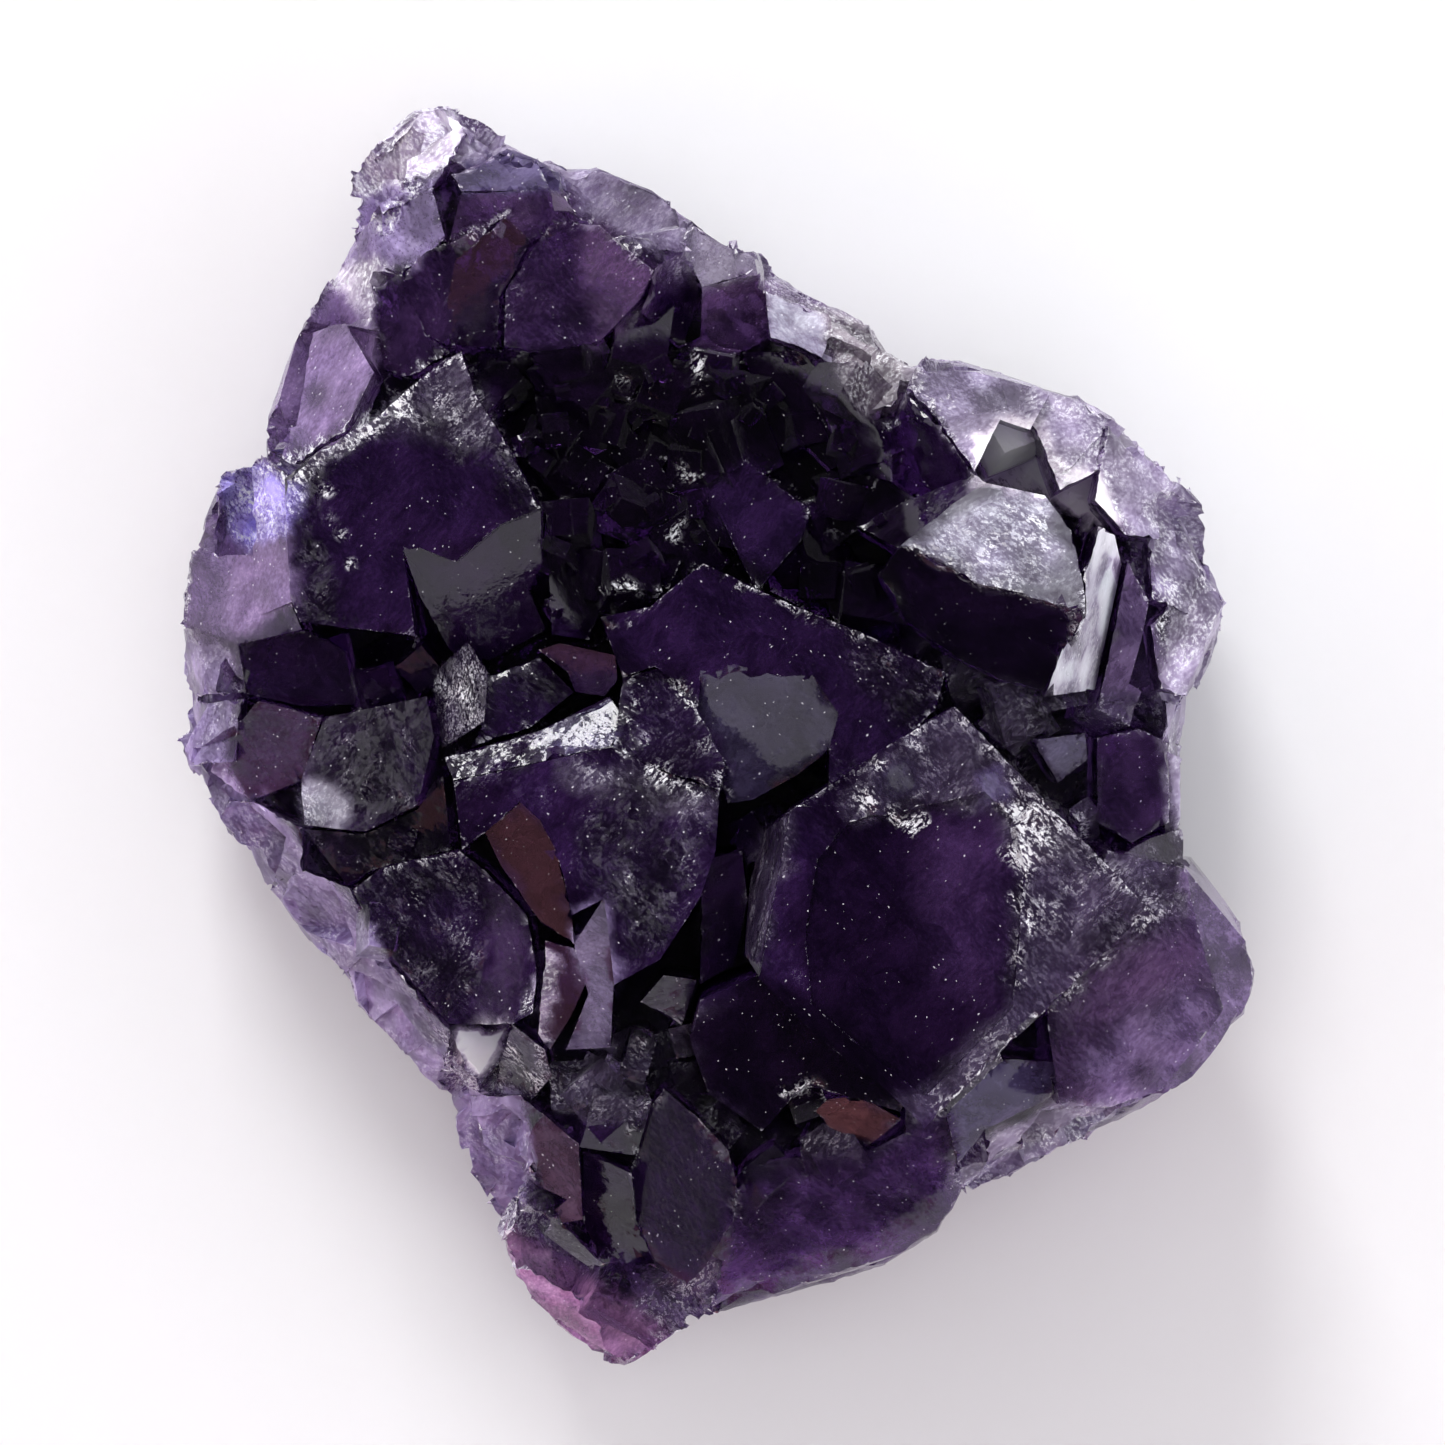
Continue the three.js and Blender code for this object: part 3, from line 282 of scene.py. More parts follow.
# Where the finishes lie, in plan steps: finish, softness of its border, what its gloss mirrors,
# and its outline. Where it mirrors something, it keeps to the one flat face it is on, unless
# all faces there do. Later areas lie over earlier ones.
AREAS = {
    "ground of the hollow": ("black glass", 12, "all dark", [
        (490, 365), (560, 345), (700, 340), (850, 400), (900, 480), (915, 560), (890, 640),
        (800, 620), (720, 580), (640, 605), (590, 640), (540, 570), (535, 480)]),
    "ground right of the centre": ("dusty glow", 12, "all dark", [
        (900, 600), (1050, 660), (1150, 700), (1100, 745), (1100, 860), (1040, 790), (950, 700)]),
    "ground below the centre": ("dusty glow", 12, "all dark", [
        (550, 1040), (720, 1000), (720, 1110), (640, 1120), (530, 1110)]),
    "ground at the foot": ("dusty glow", 12, "all dark", [
        (720, 1120), (810, 1080), (960, 1120), (940, 1170), (770, 1190)]),
    "ground between the middle crystals": ("left glass", 12, "all dark", [
        (715, 850), (770, 815), (755, 990), (680, 1005)]),
    "great crystal window": ("night glass", 8, None, [
        (830, 850), (905, 806), (985, 800), (1018, 850), (1022, 905), (1010, 990), (975, 1030),
        (925, 1080), (870, 1060), (815, 1004), (800, 930)]),
    "great crystal glow": ("violet glow", 40, None, [
        (945, 830), (1005, 840), (1015, 920), (985, 990), (950, 960), (930, 890)]),
    "great crystal back band": ("dusty glow", 10, None, [
        (905, 740), (955, 706), (1050, 800), (1000, 815), (930, 800), (860, 822), (840, 800)]),
    "great crystal right band": ("grained", 10, None, [
        (985, 740), (1050, 790), (1100, 850), (1080, 870), (1040, 880), (1020, 870), (1003, 826)]),
    "great crystal grains": ("thick grained", 12, None, [
        (1018, 812), (1050, 815), (1085, 862), (1065, 892), (1030, 890), (1018, 850)]),
    "great crystal right corner": ("dusty glow", 12, None, [
        (1022, 870), (1100, 855), (1151, 909), (1060, 1000), (1018, 1010), (1014, 950)]),
    "great crystal lower right edge": ("dusty glow", 8, None, [
        (1035, 985), (1060, 995), (990, 1070), (935, 1112), (905, 1105), (960, 1050)]),
    "great crystal left side": ("dusty glow", 8, None, [
        (765, 800), (790, 810), (772, 900), (758, 960), (745, 950), (752, 870)]),
    "great crystal grey patch": ("smoky mirror", 6, "grey", [
        (885, 765), (912, 760), (910, 792), (888, 795)]),
    "right band grey patch": ("grey face", 6, "grey", [
        (975, 778), (1002, 775), (1004, 800), (980, 803)]),
    "great crystal low corner": ("black glass", 14, "all dark", [
        (765, 972), (850, 1020), (905, 1090), (860, 1100), (762, 1130), (700, 1090), (690, 1030)]),
    "right slab back": ("dusty glow", 40, None, [
        (1060, 990), (1110, 850), (1185, 865), (1195, 930), (1130, 1000), (1070, 1040)]),
    "right slab": ("slab glass", 45, None, [
        (1050, 1060), (1100, 980), (1190, 930), (1230, 1000), (1190, 1070), (1110, 1110),
        (1060, 1105)]),
    "right slab foot glow": ("slab glow", 30, None, [
        (1080, 1070), (1140, 1010), (1200, 985), (1215, 1010), (1180, 1065), (1110, 1105)]),
    "right slab pale rim": ("lilac glass", 12, None, [
        (1186, 868), (1230, 892), (1256, 960), (1250, 1010), (1200, 1072), (1150, 1105),
        (1080, 1112), (1130, 1085), (1190, 1040), (1215, 985), (1196, 910)]),
    "slab foot": ("pale crust", 10, None, [
        (1060, 1108), (1120, 1112), (1086, 1150), (1035, 1162), (990, 1180), (960, 1190),
        (985, 1140)]),
    "face under the great crystal": ("grey face", 5, "grey", [
        (1000, 1058), (1053, 1062), (1050, 1098), (985, 1130), (958, 1168), (945, 1110)]),
    # Painted lit reflection of the warm card on this face
    "brown face under the great crystal": ("painted lit warm reflection", 5, "warm card", [
        (807, 1101), (860, 1096), (902, 1120), (868, 1147), (828, 1127)]),
    "rim behind the upper right crystal": ("grey rim", 7, None, [
        (972, 480), (985, 440), (1000, 400), (1008, 364), (1060, 374), (1112, 402), (1118, 440),
        (1105, 470), (1118, 522), (1090, 524), (1050, 494), (986, 482)]),
    "upper right crystal top": ("grey veil", 6, "own", [
        (900, 545), (950, 505), (985, 482), (1045, 495), (1072, 530), (1087, 613), (1010, 592),
        (975, 583)]),
    "silvery veil": ("veil", 7, None, [
        (922, 548), (950, 520), (1000, 497), (1048, 503), (1054, 545), (1042, 590), (1030, 580),
        (1006, 592), (975, 575)]),
    "upper right crystal front": ("deep glass", 6, "dark", [
        (905, 552), (975, 583), (1085, 614), (1060, 650), (1045, 690), (950, 655), (905, 620)]),
    # Painted reflection of the white surround on this steep side
    "upper right crystal side": ("bright ground", 3, "own", [
        (1092, 500), (1135, 540), (1128, 620), (1104, 708), (1034, 712), (1054, 655), (1078, 605),
        (1076, 560)]),
    "pale rim crystal": ("grey rim", 10, None, [
        (914, 366), (1000, 362), (1048, 392), (1030, 430), (1000, 425), (975, 472), (940, 425),
        (905, 387)]),
    "white spot on the rim crystal": ("white flake and painted highlight", 4, "all lit", [
        (980, 436), (1000, 432), (1002, 460), (984, 470)]),
    "purple face of the rim crystal": ("deep glass", 5, None, [
        (905, 390), (940, 427), (975, 475), (920, 498), (885, 475), (880, 447)]),
    "right rim": ("pale crust", 14, None, [
        (1035, 390), (1110, 400), (1185, 470), (1214, 540), (1235, 610), (1210, 690), (1185, 740),
        (1160, 700), (1175, 620), (1150, 560), (1120, 500), (1070, 480), (1030, 440)]),
    "shade in the right rim": ("pale crust", 10, None, [
        (1120, 470), (1150, 520), (1180, 600), (1170, 610), (1140, 560), (1105, 490)]),
    "shadow beside the white side": ("shaded side", 5, "all dark", [
        (1112, 560), (1150, 556), (1156, 600), (1150, 690), (1100, 692), (1112, 640), (1122, 590)]),
    # Painted light in this shaded recess
    "recess behind the upper right crystal": ("painted light in the recess", 5, "all up", [
        (974, 488), (980, 440), (998, 414), (1042, 414), (1062, 466), (1100, 472), (1116, 524),
        (1088, 524), (1050, 494), (986, 484)]),
    "right middle crystal": ("violet glow", 8, "all dark", [
        (1097, 738), (1140, 728), (1168, 745), (1168, 820), (1130, 842), (1097, 822)]),
    "right rim strip": ("pale crust", 7, None, [
        (1168, 690), (1196, 700), (1186, 765), (1184, 840), (1172, 840), (1172, 760)]),
    "centre crystal top": ("left glass", 8, "dark", [
        (610, 618), (700, 566), (940, 680), (900, 745), (840, 745), (800, 670), (640, 660)]),
    "centre crystal right edge": ("dusty glass", 10, None, [
        (850, 630), (945, 672), (938, 700), (900, 720), (870, 690), (840, 650)]),
    "centre grey face": ("smoky mirror", 4, "grey", [
        (700, 670), (734, 664), (812, 675), (838, 714), (830, 750), (753, 800), (726, 804),
        (697, 706)]),
    "brown face left of the centre": ("violet glow", 5, "warm card", [
        (540, 650), (615, 655), (618, 690), (590, 700), (565, 672)]),
    "left centre edge": ("window pane", 5, "window", [
        (530, 733), (609, 696), (615, 745), (560, 758)]),
    "left centre edge end": ("dusty glass", 6, "all dim", [
        (444, 757), (530, 733), (540, 760), (453, 781)]),
    "left centre back": ("dusty glass", 8, "all dark", [
        (618, 690), (656, 668), (700, 712), (724, 765), (718, 800), (640, 770)]),
    "left centre sparkle rows": ("dusty glow", 10, "all dim", [
        (560, 765), (640, 770), (716, 795), (712, 830), (640, 800), (570, 790)]),
    "left centre top": ("dusty glass", 14, "all dim", [
        (600, 800), (712, 830), (690, 910), (640, 975), (614, 900), (575, 860)]),
    # Painted reflection of the warm card on this face
    "left centre brown face": ("painted warm reflection", 4, "warm card", [
        (485, 833), (520, 802), (556, 850), (574, 944), (540, 923)]),
    "left centre low face": ("clean pale face", 5, "all grey", [
        (576, 905), (604, 897), (614, 985), (611, 1048), (566, 1050), (588, 994), (573, 945)]),
    "violet chip": ("lit crust", 4, None, [
        (538, 945), (556, 955), (552, 1000), (540, 1040), (532, 1030)]),
    "striped crystal": ("grained", 6, None, [
        (432, 676), (468, 640), (488, 673), (484, 723), (442, 748)]),
    "face below the grey green crystal": ("dusty glass", 5, "all dark", [
        (296, 826), (365, 836), (412, 806), (414, 850), (350, 872), (310, 858)]),
    "grey green crystal": ("dusty glass", 8, "all dim", [
        (324, 717), (410, 700), (412, 806), (365, 832), (303, 826), (300, 781)]),
    # Painted reflection of the window, in the silver veil finish
    "white end of the grey green crystal": ("veil", 6, None, [
        (300, 785), (330, 778), (348, 800), (340, 828), (303, 826)]),
    "lower left crystal": ("dusty glass", 10, "all dark", [
        (360, 890), (440, 855), (480, 870), (500, 930), (470, 1020), (448, 1022), (376, 939)]),
    "lower left crystal band": ("violet glow", 12, "all dim", [
        (482, 870), (508, 875), (522, 930), (512, 1005), (480, 1010), (490, 940)]),
    # Painted highlight standing in for the window's reflection
    "bright face": ("white flake and painted highlight", 5, "all surround", [
        (452, 1030), (508, 1024), (498, 1055), (482, 1080), (466, 1066)]),
    "block below the lower left crystal": ("grained", 6, None, [
        (512, 1024), (545, 1050), (550, 1076), (530, 1104), (490, 1098), (500, 1060)]),
    "left crystal top": ("left glass", 8, "dark", [
        (330, 470), (400, 430), (470, 470), (500, 510), (440, 545), (410, 620), (310, 610)]),
    "left crystal rough side": ("dusty glass", 7, None, [
        (292, 560), (318, 540), (335, 590), (322, 640), (300, 628)]),
    "left crystal back corner": ("dusty glow", 9, None, [
        (400, 395), (462, 352), (500, 430), (480, 450), (440, 440), (385, 430)]),
    "left crystal back edge": ("thick grained", 7, None, [
        (262, 470), (330, 436), (400, 392), (408, 404), (350, 446), (290, 482)]),
    "left crystal grey strip": ("dusty glass", 5, None, [
        (485, 432), (505, 436), (542, 500), (520, 508)]),
    "left crystal grey face": ("mirror", 4, "own", [
        (403, 550), (455, 562), (541, 508), (546, 630), (490, 661), (450, 651)]),
    "left flank": ("slab glow", 7, None, [
        (205, 500), (265, 455), (290, 500), (296, 600), (240, 640), (182, 640), (185, 560)]),
    "bluish glow on the left flank": ("bluish glow", 8, None, [
        (215, 480), (262, 462), (300, 490), (290, 530), (240, 540)]),
    "brown flat": ("left glass", 6, "all dark", [
        (245, 645), (302, 630), (345, 650), (352, 700), (300, 704), (250, 690)]),
    "lower left flank": ("flank crust", 8, None, [
        (180, 640), (225, 650), (235, 740), (290, 830), (345, 900), (440, 1040), (440, 1095),
        (340, 985), (225, 840), (172, 738)]),
    "violet flank crystal": ("violet glow", 8, "all dim", [
        (225, 745), (258, 703), (318, 720), (300, 780), (252, 800)]),
    "top left tip": ("white crust", 6, None, [
        (352, 172), (380, 132), (412, 105), (450, 102), (468, 133), (440, 170), (400, 175),
        (360, 210)]),
    "top left block": ("lavender frost", 6, None, [
        (350, 200), (432, 180), (446, 235), (402, 270), (345, 262)]),
    "milky seam": ("white crust", 10, None, [
        (335, 270), (380, 262), (392, 300), (380, 335), (345, 300)]),
    "upper left rim": ("lilac glass", 7, None, [
        (300, 325), (340, 290), (380, 340), (350, 425), (290, 462), (262, 450), (272, 395)]),
    "streak on the upper left rim": ("slab glow", 6, None, [
        (322, 310), (345, 315), (375, 365), (372, 395), (345, 370)]),
    "top left purple crystal": ("violet glow", 6, "all dark", [
        (370, 290), (403, 272), (450, 249), (454, 262), (448, 306), (452, 348), (414, 380),
        (386, 368)]),
    "top crystal front": ("slab glass", 6, None, [
        (450, 195), (566, 192), (580, 222), (520, 243), (450, 242)]),
    "top rim": ("pale crust", 12, None, [
        (468, 133), (510, 138), (567, 168), (590, 165), (585, 190), (560, 172), (505, 148),
        (455, 172)]),
    "top pale block": ("grey rim", 7, "all dark", [
        (583, 172), (605, 162), (660, 195), (690, 225), (680, 246), (620, 236), (583, 218)]),
    "top right pale block": ("dull pale face", 9, None, [
        (690, 215), (757, 250), (766, 275), (702, 287), (684, 250)]),
    "top right purple face": ("slab glass", 8, None, [
        (705, 290), (762, 275), (775, 336), (740, 352), (700, 345)]),
    "white rim face": ("pearl face", 7, "lit", [
        (766, 292), (800, 305), (846, 322), (838, 364), (800, 347), (772, 336)]),
    "crust on the rim": ("olive crust", 12, None, [
        (820, 305), (870, 325), (912, 362), (898, 404), (862, 414), (842, 370)]),
    "top brown crystal": ("mirror", 4, "warm card", [
        (455, 240), (500, 216), (530, 236), (502, 290), (500, 350), (450, 350), (450, 300)]),
    "top violet crystal": ("dusty violet", 5, "all dark", [
        (530, 236), (560, 222), (600, 226), (655, 265), (640, 308), (600, 342), (540, 350),
        (503, 345), (505, 290)]),
    "top crystal roof": ("grey face", 4, "all grey", [
        (451, 172), (506, 148), (562, 168), (572, 190), (460, 192)]),
    "top middle side": ("slab glass", 12, "all dim", [
        (600, 228), (655, 270), (640, 310), (600, 340), (590, 290), (580, 240)]),
    "lens face": ("mirror", 4, "dim", [
        (663, 1090), (642, 1113), (632, 1174), (636, 1220), (654, 1258), (685, 1285), (706, 1264),
        (734, 1220), (737, 1180), (700, 1119)]),
    "lower left grey face": ("plum face", 5, "dim", [
        (541, 1114), (579, 1146), (583, 1218), (562, 1222), (532, 1174), (526, 1140)]),
    "pale lower left corner": ("flank crust", 8, None, [
        (449, 1094), (520, 1095), (530, 1150), (520, 1200), (495, 1210), (456, 1150)]),
    "bottom ledge": ("pink ledge", 12, None, [
        (505, 1225), (560, 1262), (640, 1310), (670, 1345), (626, 1366), (560, 1330),
        (515, 1280)]),
    "bottom right body": ("dark slab", 22, "all dark", [
        (740, 1195), (780, 1165), (870, 1152), (945, 1120), (950, 1205), (880, 1250),
        (780, 1280), (720, 1290)]),
    "bottom right rim": ("dark slab", 14, None, [
        (955, 1190), (940, 1232), (885, 1268), (780, 1300), (700, 1322), (715, 1295),
        (800, 1270), (880, 1240), (930, 1205)]),
    "heart face in the hollow": ("mirror", 5, "all dark", [
        (704, 490), (745, 459), (811, 510), (801, 541), (775, 575), (745, 560), (724, 525)]),
    "brown strip in the hollow": ("black glass", 4, "all dark", [
        (530, 402), (600, 400), (598, 414), (532, 416)]),
    "right middle grey face": ("grey face", 5, "all grey", [
        (1035, 742), (1084, 735), (1086, 758), (1058, 780)]),
}

# White ridges and veins: frost, half breadth in plan steps, and the places they run through
LINES = [
    (0.9, 5, [(262, 468), (330, 437), (400, 394), (446, 358)]),
    (0.7, 4, [(462, 352), (480, 396), (508, 440), (540, 505)]),
    (0.9, 6, [(214, 470), (196, 505), (186, 560), (180, 620)]),
    (0.8, 5, [(300, 470), (330, 500), (345, 560)]),
    (0.8, 4, [(402, 272), (425, 258), (470, 236), (500, 216), (515, 212)]),
    (0.5, 4, [(545, 228), (525, 255), (505, 300), (500, 340)]),
    (0.6, 4, [(560, 222), (600, 226), (650, 265)]),
    (0.9, 4, [(596, 640), (640, 612), (662, 595), (690, 568), (712, 566), (760, 590)]),
    (0.8, 4, [(760, 590), (820, 615), (870, 640), (946, 673)]),
    (0.7, 4, [(946, 673), (936, 710), (880, 760)]),
    (0.6, 4, [(955, 706), (990, 740), (1050, 800), (1100, 852), (1151, 909)]),
    (0.8, 4, [(1151, 909), (1080, 985), (1020, 1040), (940, 1110)]),
    (0.5, 4, [(958, 706), (905, 740), (850, 772), (790, 812)]),
    (0.8, 7, [(1000, 850), (1020, 872), (1016, 900), (1030, 935)]),
    (0.6, 5, [(1014, 940), (1012, 975), (1010, 1000)]),
    (1.0, 7, [(858, 806), (872, 812), (866, 800)]),
    (1.0, 6, [(893, 818), (905, 826), (916, 818)]),
    (0.9, 6, [(908, 838), (918, 846)]),
    (0.7, 5, [(680, 680), (700, 715), (712, 750), (728, 790)]),
    (0.8, 5, [(628, 676), (640, 700), (612, 745), (640, 765), (700, 785), (718, 795)]),
    (0.7, 4, [(444, 760), (500, 742), (560, 722), (610, 697)]),
    (0.5, 4, [(356, 890), (380, 868), (420, 858), (460, 850)]),
    (0.6, 3, [(395, 872), (410, 900), (440, 950), (452, 1000)]),
    (0.6, 3, [(340, 852), (385, 866), (440, 858)]),
    (0.7, 4, [(514, 1020), (528, 1010), (540, 985), (548, 950)]),
    (0.5, 4, [(460, 850), (490, 872), (528, 915), (540, 970)]),
    (0.6, 4, [(900, 545), (975, 583), (1010, 593), (1085, 614)]),
    (0.7, 5, [(1075, 520), (1090, 550), (1085, 600), (1075, 640)]),
    (0.9, 3, [(950, 565), (975, 530), (1010, 508), (1046, 505)]),
    (0.9, 3, [(968, 574), (990, 545), (1020, 524), (1050, 522)]),
    (0.8, 3, [(985, 578), (1005, 555), (1030, 540), (1052, 545)]),
    (0.9, 7, [(1040, 425), (1060, 470), (1075, 510)]),
    (0.8, 8, [(1090, 440), (1115, 500), (1130, 550), (1150, 600)]),
    (0.8, 8, [(1215, 620), (1190, 650), (1172, 680)]),
    (0.8, 7, [(1140, 530), (1165, 580), (1160, 640)]),
    (0.7, 5, [(905, 387), (940, 425), (975, 473)]),
    (0.8, 4, [(892, 420), (880, 446)]),
    (0.9, 6, [(694, 352), (698, 378), (700, 392)]),
    (0.9, 8, [(620, 378), (626, 398)]),
    (0.9, 6, [(672, 462), (684, 474), (700, 476)]),
    (0.8, 8, [(608, 592), (625, 580), (640, 596)]),
    (0.6, 4, [(740, 460), (790, 480), (812, 512)]),
    (0.7, 4, [(690, 545), (668, 540), (680, 520)]),
    (0.9, 8, [(782, 1092), (808, 1086), (824, 1094)]),
    (0.6, 5, [(640, 1290), (652, 1320), (660, 1345)]),
    (0.6, 4, [(663, 1090), (640, 1115), (632, 1172)]),
    (0.5, 4, [(702, 1119), (736, 1175), (735, 1218)]),
    (0.8, 8, [(380, 232), (395, 205), (415, 185)]),
    (0.8, 5, [(415, 370), (440, 358), (452, 350)]),
]

# Where small crystals fill the ground between the large ones
NESTS = {
    "hollow": [
        (500, 370), (560, 350), (700, 345), (850, 400), (890, 480), (905, 560), (880, 620),
        (800, 610), (720, 570), (640, 600), (590, 630), (548, 560), (545, 480)],
    "right gap": [(930, 640), (1040, 690), (1095, 705), (1080, 732), (1030, 738), (1000, 700)],
    "lower gap": [(560, 1050), (700, 1020), (700, 1100), (640, 1110), (540, 1110)],
    "foot gap": [(730, 1130), (810, 1090), (850, 1150), (770, 1180)],
    "left gap": [(300, 640), (430, 640), (440, 690), (350, 715)],
    "lower left gap": [(340, 850), (400, 850), (380, 900), (345, 900)],
    "middle gap": [(715, 850), (760, 820), (750, 990), (690, 1000)],
}


def way_to(azimuth, elevation):
    """The way to a place in the studio, from its angles in degrees."""
    a, e = math.radians(azimuth), math.radians(elevation)
    return Vector((math.cos(a) * math.cos(e), math.sin(a) * math.cos(e), math.sin(e)))


def off_line(places, a, b):
    """Distance from places to the straight line between two points."""
    way = b - a
    share = np.clip(((places - a) @ way) / max(way @ way, 1e-9), 0, 1)
    return np.hypot(*(places - a - share[:, None] * way).T)


def inside(places, outline):
    """Distance from places to an outline, positive inside it and negative outside."""
    corners = np.array(outline, float)
    best = np.full(len(places), 1e9)
    within = np.zeros(len(places), bool)
    for a, b in zip(corners, np.roll(corners, -1, 0)):
        best = np.minimum(best, off_line(places, a, b))
        if a[1] != b[1]:
            crosses = (a[1] > places[:, 1]) != (b[1] > places[:, 1])
            at = (b[0] - a[0]) * (places[:, 1] - a[1]) / (b[1] - a[1]) + a[0]
            within ^= crosses & (places[:, 0] < at)
    return np.where(within, best, -best)


def along(places, route):
    """Distance from places to a route."""
    points = np.array(route, float)
    return np.min([off_line(places, a, b) for a, b in zip(points[:-1], points[1:])], 0)


def close_by(places, points, margin):
    """Which places lie within a margin of the box round some points."""
    low = np.min(points, 0) - margin
    high = np.max(points, 0) + margin
    return ((places > low) & (places < high)).all(1)


def chance(cells, seed):
    """A repeatable random number from 0 to 1 for each row of whole numbers."""
    x, y, z = cells.astype(np.int64).T
    mixed = (x * 73856093) ^ (y * 19349663) ^ (z * 83492791) ^ (seed * 40503 + 977)
    mixed = ((mixed ^ (mixed >> 15)) * 1274126177) & 0x7FFFFFFF
    mixed = ((mixed ^ (mixed >> 13)) * 668265263) & 0x7FFFFFFF
    return ((mixed ^ (mixed >> 16)) & 0xFFFFF) / 0xFFFFF


def turned(points, seed):
    """Points turned by an angle of their own for each seed, so that no two patterns line up."""
    spin = Euler((seed * 1.7, seed * 0.9, seed * 2.3)).to_matrix()
    return points @ np.array(spin).T + seed * 13.7


def waves(points, size, seed):
    """Smooth noise from -1 to 1 at points in millimetres, with waves of a size in millimetres."""
    where = turned(points, seed) / size
    cell = np.floor(where)
    share = where - cell
    share = share * share * (3 - 2 * share)
    total = np.zeros(len(points))
    for corner in np.ndindex(2, 2, 2):
        weight = np.prod(np.where(corner, share, 1 - share), 1)
        total += weight * chance(cell + corner, seed)
    return np.clip((total - 0.5) * 2.6, -1, 1)


def crumbled(points, size, seed):
    """Height from 0 to 1 of a broken surface: each cell round a random seed is a tilted plane."""
    where = turned(points, seed) / size
    cell = np.floor(where)
    nearest = np.full(len(points), 9.0)
    height = np.zeros(len(points))
    for step in np.ndindex(3, 3, 3):
        home = cell + step - 1
        spot = np.stack([chance(home, seed + k) for k in (1, 2, 3)], 1)
        off = where - home - spot
        far = (off ** 2).sum(1)
        tilt = np.stack([chance(home, seed + k) - 0.5 for k in (4, 5, 6)], 1)
        lift = chance(home, seed + 7) * 0.6 + (off * tilt).sum(1) * 1.1 + 0.2
        closer = far < nearest
        nearest = np.where(closer, far, nearest)
        height = np.where(closer, lift, height)
    return np.clip(height, 0, 1)


def tree_of(points):
    """A tree that finds the nearest of some points."""
    tree = kdtree.KDTree(len(points))
    for i, point in enumerate(points):
        tree.insert(point, i)
    tree.balance()
    return tree


def merged_copy(node):
    """The solid's mesh with its corners joined."""
    mesh = bpy.data.meshes.new("grown body")
    work = bmesh.new()
    work.from_mesh(node.data)
    bmesh.ops.remove_doubles(work, verts=work.verts, dist=1e-7)
    work.to_mesh(mesh)
    work.free()
    return mesh


def part_doubled(work, edge):
    """Gives a corner of its own to a flat pair of triangles that meet along another pair's edge."""
    pairs = [(one, other) for one in edge.link_faces for other in edge.link_faces if one != other]
    flat = max(pairs, key=lambda pair: pair[0].normal.dot(pair[1].normal))
    ends = list(edge.verts)
    middle = work.verts.new((ends[0].co + ends[1].co) / 2)
    for face in flat:
        corners = list(face.verts)
        work.faces.remove(face)
        for end in ends:
            work.faces.new([middle if corner is end else corner for corner in corners])


def arrays(mesh):
    """Corners in millimetres and triangles of a mesh."""
    work = bmesh.new()
    work.from_mesh(mesh)
    bmesh.ops.triangulate(work, faces=work.faces)
    for edge in [edge for edge in work.edges if len(edge.link_faces) == 4]:
        part_doubled(work, edge)
    bare = bpy.data.meshes.new("triangles")
    work.to_mesh(bare)
    work.free()
    points = np.zeros(len(bare.vertices) * 3)
    bare.vertices.foreach_get("co", points)
    faces = np.zeros(len(bare.polygons) * 3, int)
    bare.polygons.foreach_get("vertices", faces)
    bpy.data.meshes.remove(bare)
    return points.reshape(-1, 3) / MM, faces.reshape(-1, 3)


def face_normals(points, faces):
    """Normals and areas of triangles."""
    across = np.cross(points[faces[:, 1]] - points[faces[:, 0]],
                      points[faces[:, 2]] - points[faces[:, 0]])
    size = np.linalg.norm(across, axis=1)
    return across / np.maximum(size, 1e-12)[:, None], size / 2


class Rim:
    """The outline at the widest level, for the distance of any point to it in plan."""

    def __init__(self, points):
        level = (points[:, 2] > RIM_LEVELS[0]) & (points[:, 2] < RIM_LEVELS[1])
        edge = points[level].copy()
        centre = edge.mean(0)
        edge[:, 2] = 0
        around = np.arctan2(edge[:, 1] - centre[1], edge[:, 0] - centre[0])
        reach = np.hypot(edge[:, 0] - centre[0], edge[:, 1] - centre[1])
        slots = ((around + math.pi) / (2 * math.pi) * RIM_SLOTS).astype(int) % RIM_SLOTS
        outer = [edge[slots == s][reach[slots == s].argmax()] for s in range(RIM_SLOTS)
                 if (slots == s).any()]
        self.outer = np.array(outer)[:, :2]

    def nearness(self, points):
        """1 at the rim and 0 well inside it."""
        far = np.concatenate([
            np.sqrt(((part[:, None, :2] - self.outer) ** 2).sum(2).min(1))
            for part in np.array_split(points, len(points) // 20000 + 1)])
        return 1 - smooth(0, RIM_BREADTH, far)


# Nodes

class Amount:
    """A number that a node gives, so that a sum of nodes is written as a sum."""

    def __init__(self, words, socket):
        self.words = words
        self.socket = socket

    def __add__(self, other):
        return self.words.calc("ADD", self, other)

    def __sub__(self, other):
        return self.words.calc("SUBTRACT", self, other)

    def __rsub__(self, other):
        return self.words.calc("SUBTRACT", other, self)

    def __mul__(self, other):
        return self.words.calc("MULTIPLY", self, other)

    def __gt__(self, other):
        return self.words.calc("GREATER_THAN", self, other)


